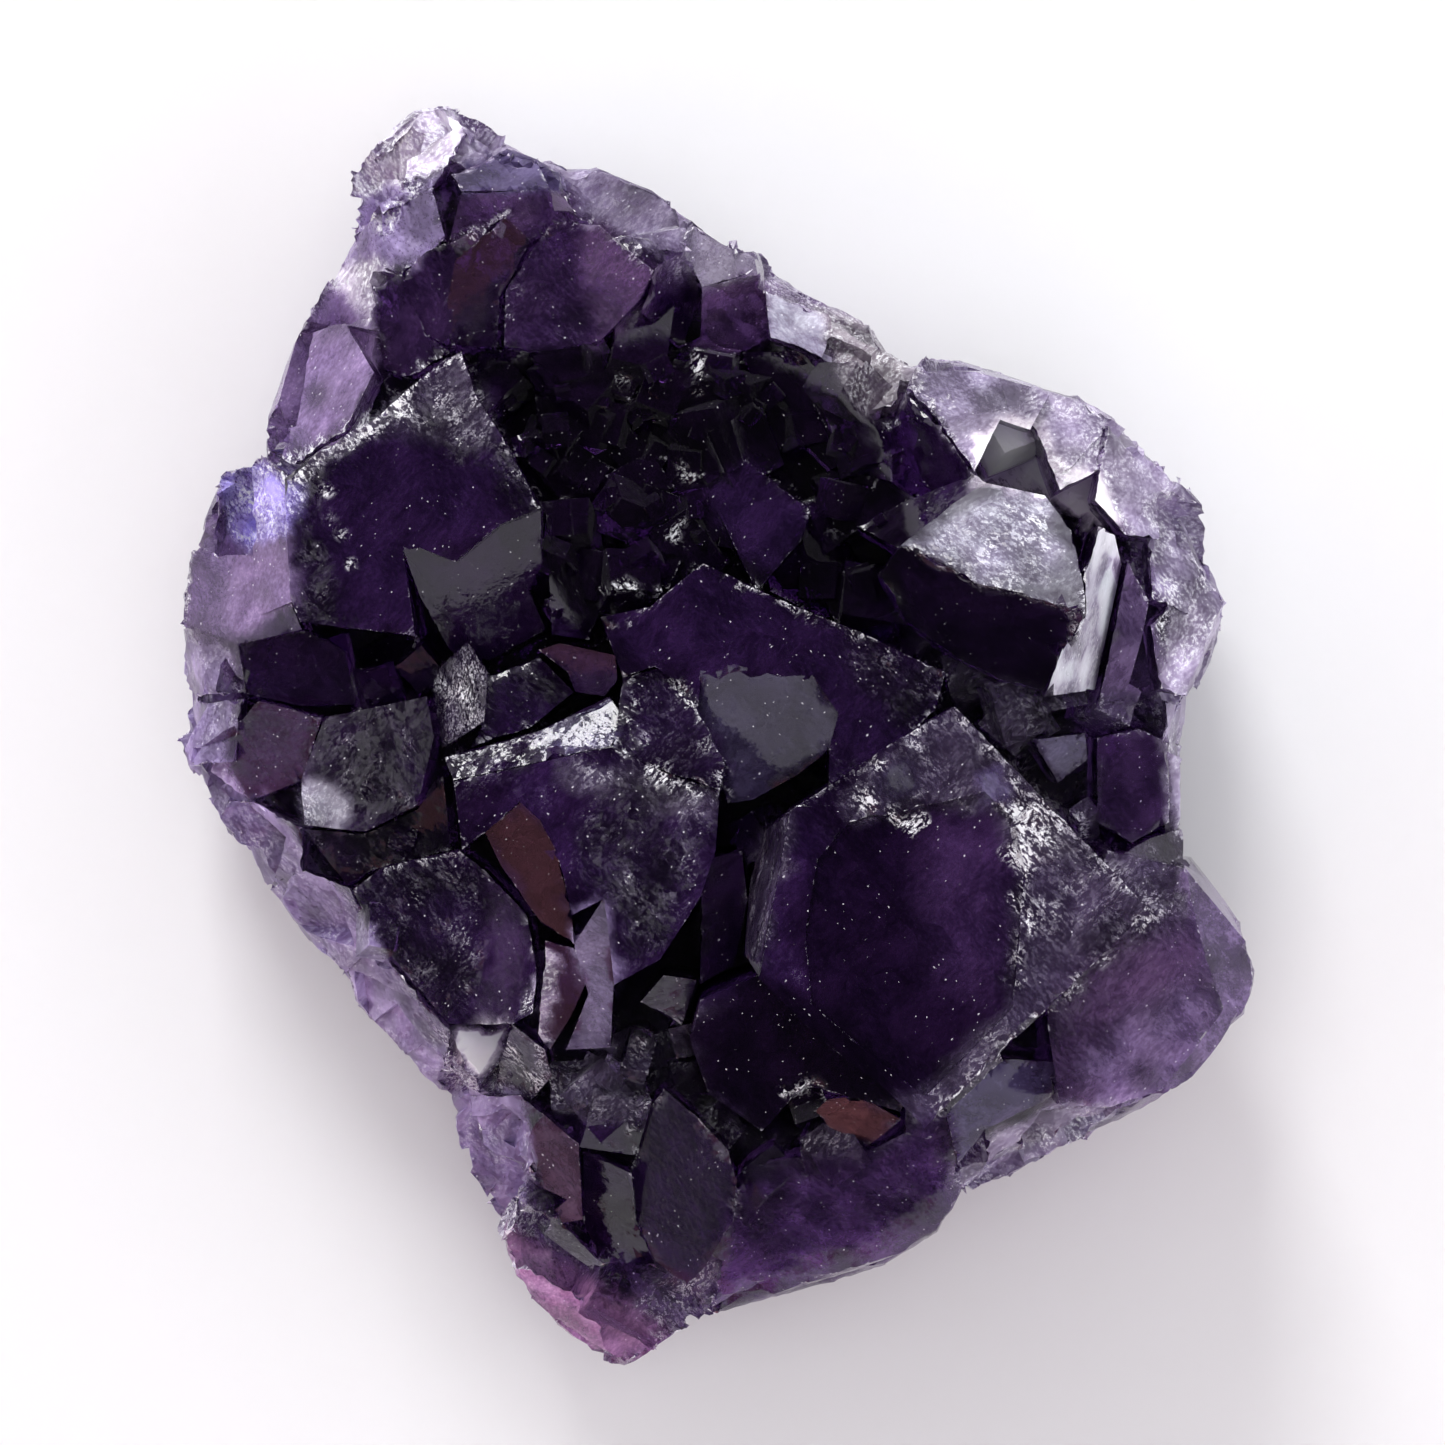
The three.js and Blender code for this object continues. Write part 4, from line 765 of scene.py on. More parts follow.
class Words:
    """Short words for the nodes of a tree."""

    def __init__(self, tree):
        self.nodes = tree.nodes
        self.links = tree.links

    def put(self, value, slot):
        """Links a slot to what a node gives, or writes a plain value into it."""
        if isinstance(value, Amount):
            value = value.socket
        if isinstance(value, bpy.types.NodeSocket):
            self.links.new(value, slot)
        else:
            slot.default_value = value

    def node(self, kind, values=(), **settings):
        """A node with its settings, and with values put into some of its slots."""
        node = self.nodes.new(kind)
        for name, setting in settings.items():
            setattr(node, name, setting)
        for slot, value in dict(values).items():
            self.put(value, node.inputs[slot])
        return node

    def calc(self, kind, *values):
        """The amount that one kind of arithmetic makes of some values."""
        node = self.node("ShaderNodeMath", enumerate(values), operation=kind)
        return Amount(self, node.outputs[0])

    def most(self, value, *others):
        """The largest of some amounts."""
        for other in others:
            value = self.calc("MAXIMUM", value, other)
        return value

    def vector(self, kind, *values):
        """A node for one kind of arithmetic on vectors."""
        return self.node("ShaderNodeVectorMath", enumerate(values), operation=kind)

    def scaled(self, vector, factor):
        """A vector times a factor."""
        values = {0: vector, "Scale": factor}
        return self.node("ShaderNodeVectorMath", values, operation="SCALE").outputs[0]

    def rise(self, value, low, high):
        """0 at a low value, 1 at a high one, and smooth in between."""
        values = {"Value": value, "From Min": low, "From Max": high}
        node = self.node("ShaderNodeMapRange", values, interpolation_type="SMOOTHSTEP")
        return Amount(self, node.outputs["Result"])

    def blend(self, share, first, second):
        """A mix of two amounts, with a share of the second."""
        node = self.node("ShaderNodeMix", {0: share, 2: first, 3: second}, data_type="FLOAT")
        return Amount(self, node.outputs[0])

    def blend_colours(self, share, first, second):
        """A mix of two colours, with a share of the second."""
        node = self.node("ShaderNodeMix", {0: share, 6: first, 7: second}, data_type="RGBA")
        return node.outputs[2]


# Cubes set on the body by geometry nodes: small crystals that grow into it, or chips cut off it

CUBE_INPUTS = (
    ("Where", "String", ""),
    ("Per square millimetre", "Float", 0.5),
    ("Smallest edge", "Float", 0.6 * MM),
    ("Largest edge", "Float", 2 * MM),
    ("Largest lean", "Float", 0.6),
    ("Raised by edges", "Float", 0.0),
    ("Sunk", "Float", 0.0),
    ("Seed", "Int", 1),
)


def cube_tree(name, operation, stone):
    """Cubes standing on faces marked by an attribute, joined with the body or cut from it."""
    tree = bpy.data.node_groups.new(name, "GeometryNodeTree")
    sockets = tree.interface
    sockets.new_socket("Geometry", in_out="INPUT", socket_type="NodeSocketGeometry")
    for title, kind, value in CUBE_INPUTS:
        socket = sockets.new_socket(title, in_out="INPUT", socket_type="NodeSocket" + kind)
        socket.default_value = value
    sockets.new_socket("Geometry", in_out="OUTPUT", socket_type="NodeSocketGeometry")
    make = Words(tree)
    start = make.node("NodeGroupInput").outputs

    def spread(low, high, kind, first, output):
        """A random value between two others for each cube."""
        values = {first: low, first + 1: high, "Seed": start["Seed"]}
        return make.node("FunctionNodeRandomValue", values, data_type=kind).outputs[output]

    def named(title):
        """An attribute by its name."""
        return make.node("GeometryNodeInputNamedAttribute", {"Name": title}).outputs["Attribute"]

    density = Amount(make, start["Per square millimetre"]) * (1 / MM ** 2)
    scatter = make.node("GeometryNodeDistributePointsOnFaces", {
        "Mesh": start["Geometry"], "Density": density * named(start["Where"]),
        "Seed": start["Seed"]})
    edge = spread(start["Smallest edge"], start["Largest edge"], "FLOAT", 2, 1)
    keep = make.node("GeometryNodeStoreNamedAttribute", {
        "Geometry": scatter.outputs["Points"], "Name": "edge", "Value": edge})
    size = Amount(make, named("edge"))
    lift = size * start["Raised by edges"] - start["Sunk"]
    move = make.node("GeometryNodeSetPosition", {
        "Geometry": keep.outputs[0], "Offset": make.scaled(scatter.outputs["Normal"], lift)})

    most = start["Largest lean"]
    least = Amount(make, most) * -1
    low = make.node("ShaderNodeCombineXYZ", {"X": least, "Y": least})
    high = make.node("ShaderNodeCombineXYZ", {"X": most, "Y": most, "Z": math.pi / 2})
    angles = spread(low.outputs[0], high.outputs[0], "FLOAT_VECTOR", 0, 0)
    lean = make.node("FunctionNodeEulerToRotation", {0: angles})
    turns = {0: scatter.outputs["Rotation"], 1: lean.outputs[0]}
    turn = make.node("FunctionNodeRotateRotation", turns, rotation_space="LOCAL")
    cube = make.node("GeometryNodeMeshCube", {"Size": (1, 1, 1)})
    stand = make.node("GeometryNodeInstanceOnPoints", {
        "Points": move.outputs[0], "Instance": cube.outputs["Mesh"], "Rotation": turn.outputs[0],
        "Scale": make.scaled(spread(*CUBE_SIDES, "FLOAT_VECTOR", 0, 0), size)})

    carve = make.node("GeometryNodeMeshBoolean", operation=operation, solver="MANIFOLD")
    body = carve.inputs["Mesh 1" if operation == "DIFFERENCE" else "Mesh 2"]
    make.put(start["Geometry"], body)
    make.put(stand.outputs["Instances"], carve.inputs["Mesh 2"])
    real = make.node("GeometryNodeRealizeInstances", {0: carve.outputs[0]})
    dress = make.node("GeometryNodeSetMaterial", {"Geometry": real.outputs[0], "Material": stone})
    make.node("NodeGroupOutput", {0: dress.outputs[0]})
    return tree


def set_inputs(modifier, values):
    """Sets a modifier's inputs, each by the identifier of the socket with its name."""
    for item in modifier.node_group.interface.items_tree:
        if item.in_out == "INPUT" and item.name in values:
            modifier[item.identifier] = values[item.name]


def write_layer(mesh, name, kind, domain, values):
    """Writes an attribute of a mesh, with a value for each of its faces, corners or points."""
    key = {"FLOAT_COLOR": "color", "FLOAT_VECTOR": "vector"}.get(kind, "value")
    mesh.attributes.new(name, kind, domain).data.foreach_set(key, np.ravel(values))


def mark_faces(mesh, rim):
    """Marks, on each face of the body, where small crystals grow and where chips came off."""
    middle = np.array([polygon.center for polygon in mesh.polygons]) / MM
    normal = np.array([polygon.normal for polygon in mesh.polygons])
    places = plan(middle)
    up = normal[:, 2] > LOOKING_UP
    nest = np.zeros(len(middle), bool)
    for outline in NESTS.values():
        nest |= inside(places, outline) > 0
    near = rim.nearness(middle)
    kept = np.zeros(len(middle), bool)
    for name, (finish, _, _, outline) in AREAS.items():
        if FINISHES[finish][2] < CLEAN_FROST and not name.startswith("ground"):
            kept |= (inside(places, outline) > 1) & up
    nest &= up & ~kept & (middle[:, 2] < NEST_TOP)
    rough = (near > CHIP_NEARNESS) & (middle[:, 2] > CHIP_FLOOR) & ~kept
    rough &= normal[:, 2] > CHIP_SLOPE
    write_layer(mesh, "nest", "FLOAT", "FACE", nest.astype(float))
    write_layer(mesh, "rough", "FLOAT", "FACE", rough.astype(float))


def placed(name, data):
    """An object with some data, put into the scene."""
    made = bpy.data.objects.new(name, data)
    bpy.context.scene.collection.objects.link(made)
    return made


def reshaped(mesh, tree, values):
    """The mesh after one pass of a tree of geometry nodes, as a plain mesh."""
    piece = placed("grown body", mesh)
    modifier = piece.modifiers.new(tree.name, "NODES")
    modifier.node_group = tree
    set_inputs(modifier, values)
    graph = bpy.context.evaluated_depsgraph_get()
    done = bpy.data.meshes.new_from_object(piece.evaluated_get(graph))
    bpy.data.objects.remove(piece)
    return done


def grown_body(rim, stone):
    """The body with small crystals in the hollow and the gaps, and chips off its rim."""
    grow = cube_tree("small crystals", "UNION", stone)
    chip = cube_tree("chips", "DIFFERENCE", stone)
    mesh = merged_copy(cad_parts[NODE])
    passes = [
        (grow, {"Where": "nest", "Per square millimetre": 0.2, "Smallest edge": 1.2 * MM,
                "Largest edge": 3.2 * MM, "Largest lean": 0.7, "Sunk": 0.2 * MM, "Seed": 4}),
        (grow, {"Where": "nest", "Per square millimetre": 0.14, "Smallest edge": 0.5 * MM,
                "Largest edge": 1.4 * MM, "Largest lean": 0.9, "Seed": 9}),
        (chip, {"Where": "rough", "Per square millimetre": 0.09, "Smallest edge": 2.0 * MM,
                "Largest edge": 6.0 * MM, "Largest lean": 0.3, "Raised by edges": 0.5,
                "Sunk": 0.12 * MM, "Seed": 16}),
        (chip, {"Where": "rough", "Per square millimetre": 0.05, "Smallest edge": 0.8 * MM,
                "Largest edge": 2.0 * MM, "Largest lean": 0.5, "Raised by edges": 0.5,
                "Sunk": 0.03 * MM, "Seed": 22}),
    ]
    for tree, values in passes:
        mark_faces(mesh, rim)
        mesh = reshaped(mesh, tree, values)
        for name in ("nest", "rough"):
            mesh.attributes.remove(mesh.attributes[name])
    return mesh


# Fine surface

def sharp_edges(points, faces, least, shortest):
    """Ends of the long edges that stand out by more than an angle, and the way into the solid."""
    normal, _ = face_normals(points, faces)
    pairs = np.sort(np.concatenate([faces[:, [0, 1]], faces[:, [1, 2]], faces[:, [2, 0]]]), 1)
    order = np.lexsort((pairs[:, 1], pairs[:, 0]))
    pairs, owner = pairs[order], np.tile(np.arange(len(faces)), 3)[order]
    first = np.nonzero((pairs[:-1] == pairs[1:]).all(1))[0]
    ends, left, right = pairs[first], owner[first], owner[first + 1]
    turn = np.degrees(np.arccos(np.clip((normal[left] * normal[right]).sum(1), -1, 1)))
    across = faces[right].sum(1) - ends.sum(1)
    beyond = ((points[across] - points[ends[:, 0]]) * normal[left]).sum(1)
    length = np.linalg.norm(points[ends[:, 1]] - points[ends[:, 0]], axis=1)
    kept = (turn > least) & (beyond < -1e-6) & (length > shortest)
    inward = -(normal[left] + normal[right])[kept]
    inward /= np.maximum(np.linalg.norm(inward, axis=1), 1e-9)[:, None]
    return ends[kept], inward


class Edges:
    """The long outer edges of the body, as points along them with the way into the solid."""

    def __init__(self, points, faces, least=24, shortest=1.0, spacing=0.12):
        spots, ways = [], []
        ends, inward = sharp_edges(points, faces, least, shortest)
        for (a, b), way in zip(ends, inward):
            start, end = points[a], points[b]
            if max(start[2], end[2]) < FOOT:
                continue
            count = max(int(np.linalg.norm(end - start) / spacing), 1)
            spots += [start + (end - start) * i / count for i in range(count + 1)]
            ways += [way] * (count + 1)
        self.tree = tree_of(spots)
        self.ways = np.array(ways)
        homes = self.cell(np.array(spots))
        around = [homes + np.array(step) - 1 for step in np.ndindex(3, 3, 3)]
        self.homes = np.unique(self.key(np.concatenate(around)))

    def cell(self, points):
        """The cell of space, one reach wide, that each point lies in."""
        return np.floor(points / EDGE_REACH).astype(np.int64)

    def key(self, cells):
        """One whole number for each cell."""
        return ((cells[:, 0] + 512) << 20) + ((cells[:, 1] + 512) << 10) + cells[:, 2] + 512

    def near(self, points):
        """Which points lie within about one reach of an edge."""
        return np.isin(self.key(self.cell(points)), self.homes)

    def gaps(self, points):
        """Distance of each point to the nearest edge, and the way into the solid there."""
        gap, way = np.full(len(points), 9.0), np.zeros((len(points), 3))
        for i in np.nonzero(self.near(points))[0]:
            _, at, gap[i] = self.tree.find(points[i])
            way[i] = self.ways[at]
        return gap, way


def filled(face, step):
    """Triangles over one flat face, with corners added inside it at about a step apart."""
    normal = np.array(face.normal)
    side = np.cross(normal, (0, 0, 1) if abs(normal[2]) < 0.9 else (1, 0, 0))
    side /= np.linalg.norm(side)
    rise = np.cross(normal, side)
    corners = np.array([vert.co for vert in face.verts]) / MM
    origin = corners[0]
    flat = np.stack([(corners - origin) @ side, (corners - origin) @ rise], 1)
    low, high = flat.min(0), flat.max(0)
    across = np.arange(low[0], high[0], step)
    down = np.arange(low[1], high[1], step * ROW_SHARE)
    grid = np.array([(x + step / 2 * (row % 2), y) for row, y in enumerate(down) for x in across])
    if len(grid):
        shift = np.stack([chance(np.column_stack([grid * 999, grid[:, :1] * 7]), k)
                          for k in (1, 2)], 1)
        grid += (shift - 0.5) * step * SHIFT_SHARE
        grid = grid[inside(grid, flat) > step * MARGIN_SHARE]
    if not len(grid):
        return None
    spots = [Vector(point) for point in np.concatenate([flat, grid])]
    ring = list(range(len(flat)))
    made, _, parts, source, _, _ = delaunay_2d_cdt(spots, [], [ring], 1, 1e-6)
    if len(made) != len(spots) or any(len(home) != 1 for home in source):
        return None
    parts = [[source[k][0] for k in part] for part in parts]
    sides = {(part[k - 1], part[k]) for part in parts for k in range(len(part))}
    if any((k - 1, k) not in sides for k in range(1, len(flat))) or (len(flat) - 1, 0) not in sides:
        return None
    added = (origin + grid[:, :1] * side + grid[:, 1:] * rise) * MM
    return added, parts


def evenly_meshed(mesh, edges, rim):
    """Corners in millimetres and triangles of a mesh, with even triangles on its large faces."""
    work = bmesh.new()
    work.from_mesh(mesh)
    bmesh.ops.dissolve_limit(work, angle_limit=math.radians(FLAT_ANGLE), verts=work.verts,
                             edges=work.edges, use_dissolve_boundaries=False)
    base = [face for face in work.faces if abs(face.calc_center_median().z) < 1e-6]
    bmesh.ops.triangulate(work, faces=base)

    def step_at(points):
        """How far apart corners are set at points, with finer steps on the rim."""
        near = rim.nearness(points)
        return FLAT_GRAIN + (RIM_GRAIN - FLAT_GRAIN) * smooth(0.15, 0.6, near)

    lines = [edge for edge in work.edges if max(vert.co.z for vert in edge.verts) > FOOT * MM]
    middle = np.array([(edge.verts[0].co + edge.verts[1].co) / 2 for edge in lines]) / MM
    length = np.array([edge.calc_length() for edge in lines]) / MM
    step = np.where(edges.near(middle), EDGE_GRAIN, step_at(middle))
    cuts = np.round(length / step).astype(int) - 1
    for count in np.unique(cuts[cuts > 0]):
        group = [lines[k] for k in np.nonzero(cuts == count)[0]]
        bmesh.ops.bisect_edges(work, edges=group, cuts=int(count))
    large = [face for face in work.faces
             if face.calc_area() > LEAST_FACE * MM ** 2 and face.calc_center_median().z > 1e-6]
    centre = np.array([face.calc_center_median() for face in large]) / MM
    for face, step in zip(large, step_at(centre)):
        made = filled(face, step)
        if made:
            corners = list(face.verts) + [work.verts.new(point) for point in made[0]]
            work.faces.remove(face)
            for part in made[1]:
                work.faces.new([corners[k] for k in part])
    gaps = [edge for edge in work.edges if edge.is_boundary]
    bmesh.ops.holes_fill(work, edges=gaps, sides=0)
    fine = bpy.data.meshes.new("even triangles")
    work.to_mesh(fine)
    work.free()
    done = arrays(fine)
    bpy.data.meshes.remove(fine)
    return done


def point_normals(points, faces):
    """Normals at corners, each the mean of the faces round it by their area."""
    normal, size = face_normals(points, faces)
    total = np.zeros_like(points)
    for k in range(3):
        np.add.at(total, faces[:, k], normal * size[:, None])
    return total / np.maximum(np.linalg.norm(total, axis=1), 1e-12)[:, None]


def thickness(points, faces, normals, start=0.002, deepest=3):
    """How far it is from each point, straight into the solid, to its other side."""
    tree = BVHTree.FromPolygons(points.tolist(), faces.tolist())
    deep = np.full(len(points), 9.0)
    for i, (point, normal) in enumerate(zip(points.tolist(), normals.tolist())):
        way = -Vector(normal)
        hit = tree.ray_cast(Vector(point) + way * start, way, deepest)[3]
        if hit:
            deep[i] = hit
    return deep


def blunted(points, faces, rounds=5):
    """The points with thin slivers and sharp tips drawn back toward the body."""
    thin = thickness(points, faces, point_normals(points, faces)) < THIN
    thin &= points[:, 2] > BASE_LEVEL
    sides = np.concatenate([faces[:, :2], faces[:, 1:], faces[:, ::2]])
    ends = np.unique(np.sort(sides, 1), axis=0)
    for _ in range(rounds):
        total = np.zeros_like(points)
        count = np.zeros(len(points))
        for a, b in (ends.T, ends[:, ::-1].T):
            np.add.at(total, a, points[b])
            np.add.at(count, a, 1)
        points = np.where(thin[:, None], total / count[:, None], points)
    return points


def on_one_face(middle, normal, size, within, sorts=12, depth=0.5, alike=0.985):
    """Which triangles lie in the plane of the largest flat face among some, and its normal."""
    rounded = np.round(normal[within] * sorts).astype(int)
    _, back = np.unique(rounded, axis=0, return_inverse=True)
    back = back.ravel()
    largest = np.bincount(back, size[within]).argmax()
    picked = back == largest
    way = (normal[within][picked] * size[within][picked, None]).sum(0)
    way /= np.linalg.norm(way)
    centre = np.average(middle[within][picked], axis=0, weights=size[within][picked])
    flush = np.abs((middle - centre) @ way) < depth
    return (normal @ way > alike) & flush, way


def mirroring(normal, glint):
    """Normals with which faces mirror a part of the studio to an eye straight above, or turn
    to a light."""
    if glint == "own":
        return normal
    if glint in FACED:
        return np.zeros_like(normal) + np.array(way_to(*FACED[glint]))
    if glint in MIRRORED:
        way = way_to(*MIRRORED[glint]) + Vector((0, 0, 1))
        return np.zeros_like(normal) + np.array(way.normalized())
    flat = normal * (1, 1, 0)
    if glint == "grey":
        flat = np.where(flat[..., :1] < 0, np.array(GREY_SIDES[0]), np.array(GREY_SIDES[1]))
    flat = flat / np.maximum(np.linalg.norm(flat, axis=-1, keepdims=True), 1e-6)
    lean = math.radians(MIRROR_LEANS[glint])
    return flat * math.sin(lean) + np.array([0, 0, math.cos(lean)])


def bare_finish(points, near):
    """The values at points that no area covers, darker inside and paler toward the rim, where the
    pale tint and haze are painted light shining through the thin stone.
    """
    cloud = waves(points, TINT_WAVES, 7)
    # Painted light: toward the rim the lilac tint and the haze stand in for light through the thin
    # stone; the rim also gets more frost and a rougher gloss
    pale = smooth(0.25, 1, near + 0.25 * cloud)
    lit = smooth(-0.5, 0.6, cloud)[:, None]
    tint = np.array(VIOLET_INK) + (np.array(VIOLET) - VIOLET_INK) * lit
    tint = tint * (1 - pale[:, None]) + np.array(LILAC) * pale[:, None]
    depth = 1 - smooth(*HOLLOW_LEVELS, points[:, 2])
    haze = 0.2 + 0.06 * smooth(-0.4, 0.7, cloud) - 0.08 * depth + 0.3 * pale ** 1.5
    frost = 0.08 + 0.1 * smooth(0, 0.8, waves(points, FROST_WAVES, 8)) + 0.3 * pale
    silk = 0.03 + 0.25 * pale
    worn = smooth(-0.3, 0.5, waves(points, WEAR_WAVES, 11))
    worn *= 0.45 + 0.55 * np.clip(frost * 2, 0, 1)
    return np.column_stack([tint, haze, frost, silk, np.zeros((len(tint), 3)), worn])


def lay_areas(values, places, patch, up, points, faces):
    """Lays the finish of each area over the values of the corners inside its outline."""
    normal, size = face_normals(points, faces)
    middle = points[faces].mean(1)
    plain = plan(middle)
    for finish, soft, glint, outline in AREAS.values():
        colour, milky, grains, rough = FINISHES[finish]
        box = close_by(places, outline, soft)
        share = smooth(-soft, soft * 0.4, inside(places[box], outline)) * up[box]
        lean = np.zeros(3)
        if glint and glint.startswith("all "):
            lean = mirroring(normal, glint.removeprefix("all ")) - normal
            lean = np.repeat(lean * CALM, 3, 0)[box]
        elif glint:
            within = close_by(plain, outline, 0)
            within[within] = inside(plain[within], outline) > 0
            within &= normal[:, 2] > LOOKING_UP
            if not within.any():
                continue
            held, way = on_one_face(middle, normal, size, within)
            share *= np.repeat(held, 3)[box]
            lean = mirroring(way, glint) - way
        target = np.array([*colour, milky, grains, rough, 0, 0, 0]) + np.zeros((len(share), 1))
        target[:, LEAN] = lean
        uneven = UNEVEN_FROST if grains > FROSTED else UNEVEN_GLASS
        target[:, :FROST] *= 1 + uneven * patch[box, :1]
        target[:, FROST] *= 1 + 1.6 * uneven * patch[box, 1]
        values[box, :WEAR] += (target - values[box, :WEAR]) * share[:, None]


def lay_lines(values, places, up):
    """Lays the white ridges and veins, with wear on both sides of them, over the values."""
    for grains, half, route in LINES:
        box = close_by(places, route, half * 3)
        gap = along(places[box], route)
        share = 1 - smooth(half * 0.2, half * 1.2, gap)
        values[box, FROST] = np.maximum(values[box, FROST], 0.75 * grains * share * up[box])
        share = 1 - smooth(half * 1.5, half * 3, gap)
        values[box, WEAR] = np.maximum(values[box, WEAR], grains * share)


def finish_of(points, faces, normals, near):
    """Tint, haze, frost, silk, lean of the gloss and wear at each corner of each triangle."""
    at = faces.ravel()
    spread = plan(points)
    calm = np.clip(normals[:, 2:], LOOKING_UP, 1)
    for size, reach, seeds in BORDER_WAVES:
        spread += np.stack([waves(points, size, seed) for seed in seeds], 1) * reach * calm
    places = spread[at]
    patch = np.stack([waves(points, size, seed) for size, seed in PATCH_WAVES], 1)[at]
    up = np.repeat(smooth(-0.02, 0.12, face_normals(points, faces)[0][:, 2]), 3)
    values = bare_finish(points, near)[at]
    lay_areas(values, places, patch, up, points, faces)
    lay_lines(values, places, up)
    return values


def dressed(points, faces, values, edge, worn):
    """A mesh with the values of the finishes as attributes, for the material."""
    made = bpy.data.meshes.new("crystal cluster")
    made.from_pydata((points * MM).tolist(), [], faces.tolist())
    made.update()
    for name, column in (("haze", HAZE), ("frost", FROST), ("silk", SILK)):
        write_layer(made, name, "FLOAT", "CORNER", values[:, column])
    write_layer(made, "lean", "FLOAT_VECTOR", "CORNER", values[:, LEAN])
    colour = np.column_stack([values[:, TINT], np.ones(len(values))])
    write_layer(made, "tint", "FLOAT_COLOR", "CORNER", colour)
    write_layer(made, "edge", "FLOAT", "POINT", edge)
    write_layer(made, "wear", "FLOAT", "POINT", worn)
    made.polygons.foreach_set("use_smooth", np.ones(len(faces), bool))
    made.set_sharp_from_angle(angle=math.radians(SHARP_ANGLE))
    return made


def weathered(mesh, rim):
    """The finished crystal surface: finer triangles, chipped edges and broken cleavage."""
    edges = Edges(*arrays(merged_copy(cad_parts[NODE])))
    points, faces = evenly_meshed(mesh, edges, rim)
    points = blunted(points, faces)
    normals = point_normals(points, faces)
    near = rim.nearness(points)
    values = finish_of(points, faces, normals, near)
    frost, worn = np.zeros(len(points)), np.zeros(len(points))
    np.maximum.at(frost, faces.ravel(), values[:, FROST])
    np.maximum.at(worn, faces.ravel(), values[:, WEAR])

    gap, way = edges.gaps(points)
    edge = np.clip(1 - gap / EDGE_REACH, 0, 1)
    deeper = CHIP_MOST * worn * smooth(0, 0.7, waves(points, EDGE_WAVES, 12))
    chip = edge ** 1.5 * (CHIP_LEAST + deeper)
    rough = smooth(0.1, 0.6, near) * smooth(0.08, 0.4, frost)
    sunk = rough * sum(deep * crumbled(points, size, seed) for deep, size, seed in CRUMBLES)
    sunk += PIT_DEPTH * smooth(0.15, 0.7, frost) * (1 + waves(points, PIT_SIZE, 13))
    sunk += SWELL_DEPTH * (1 + waves(points, SWELL_SIZE, 14))
    wall = thickness(points, faces, normals) * WALL_SHARE
    free = points[:, 2] > BASE_LEVEL
    sunk = np.minimum(sunk, wall) * free
    chip = np.minimum(chip, wall) * free
    points = points - normals * sunk[:, None] + way * chip[:, None]
    points = np.clip(points, np.array(cad_low) / MM, np.array(cad_high) / MM)
    return dressed(points, faces, values, edge, worn)


# Material

class Stone(Words):
    """Words for the patterns of the fluorite, and of the dust and wear on it."""

    def attribute(self, name, output="Fac"):
        """An attribute of the mesh, as a plain number unless another output is asked for."""
        return self.node("ShaderNodeAttribute", attribute_name=name).outputs[output]

    def clouds(self, where, size, detail, rough):
        """Noise with grains of a size in millimetres."""
        node = self.node("ShaderNodeTexNoise", {
            "Vector": where, "Scale": 1 / (size * MM), "Detail": detail, "Roughness": rough})
        return Amount(self, node.outputs["Fac"])

    def brushed(self, where, share):
        """Places drawn out along one way of cleavage, or the other."""
        ways = []
        for turn in BRUSH_TURNS:
            spin = (0, 0, math.radians(turn))
            values = {"Vector": where, "Rotation": spin, "Scale": BRUSH_STRETCH}
            ways.append(self.node("ShaderNodeMapping", values, vector_type="TEXTURE").outputs[0])
        values = {0: share, 4: ways[0], 5: ways[1]}
        return self.node("ShaderNodeMix", values, data_type="VECTOR").outputs[1]

    def cells(self, where, size):
        """Cells of a size in millimetres, each with a colour of its own."""
        return self.node("ShaderNodeTexVoronoi", {"Vector": where, "Scale": 1 / (size * MM)})

    def chances(self, cells):
        """Three random numbers from 0 to 1 for each cell."""
        node = self.node("ShaderNodeSeparateColor", {0: cells.outputs["Color"]})
        return [Amount(self, output) for output in node.outputs]

    def leans(self, cells, reach):
        """A way of its own for each cell, drawn out by a reach."""
        middle = (0.5, 0.5, 0.5)
        way = self.vector("SUBTRACT", cells.outputs["Color"], middle).outputs[0]
        return self.scaled(way, reach)

    def specks(self, where, size, breadth, uneven, rare):
        """Uneven specks in cells of a size, in those whose random number passes a level."""
        cells = self.cells(where, size)
        pick, grade, _ = self.chances(cells)
        reach = grade * breadth * self.rise(uneven, 0.25, 0.8)
        return self.rise(cells.outputs["Distance"], reach, reach * 0.4) * (pick > rare)


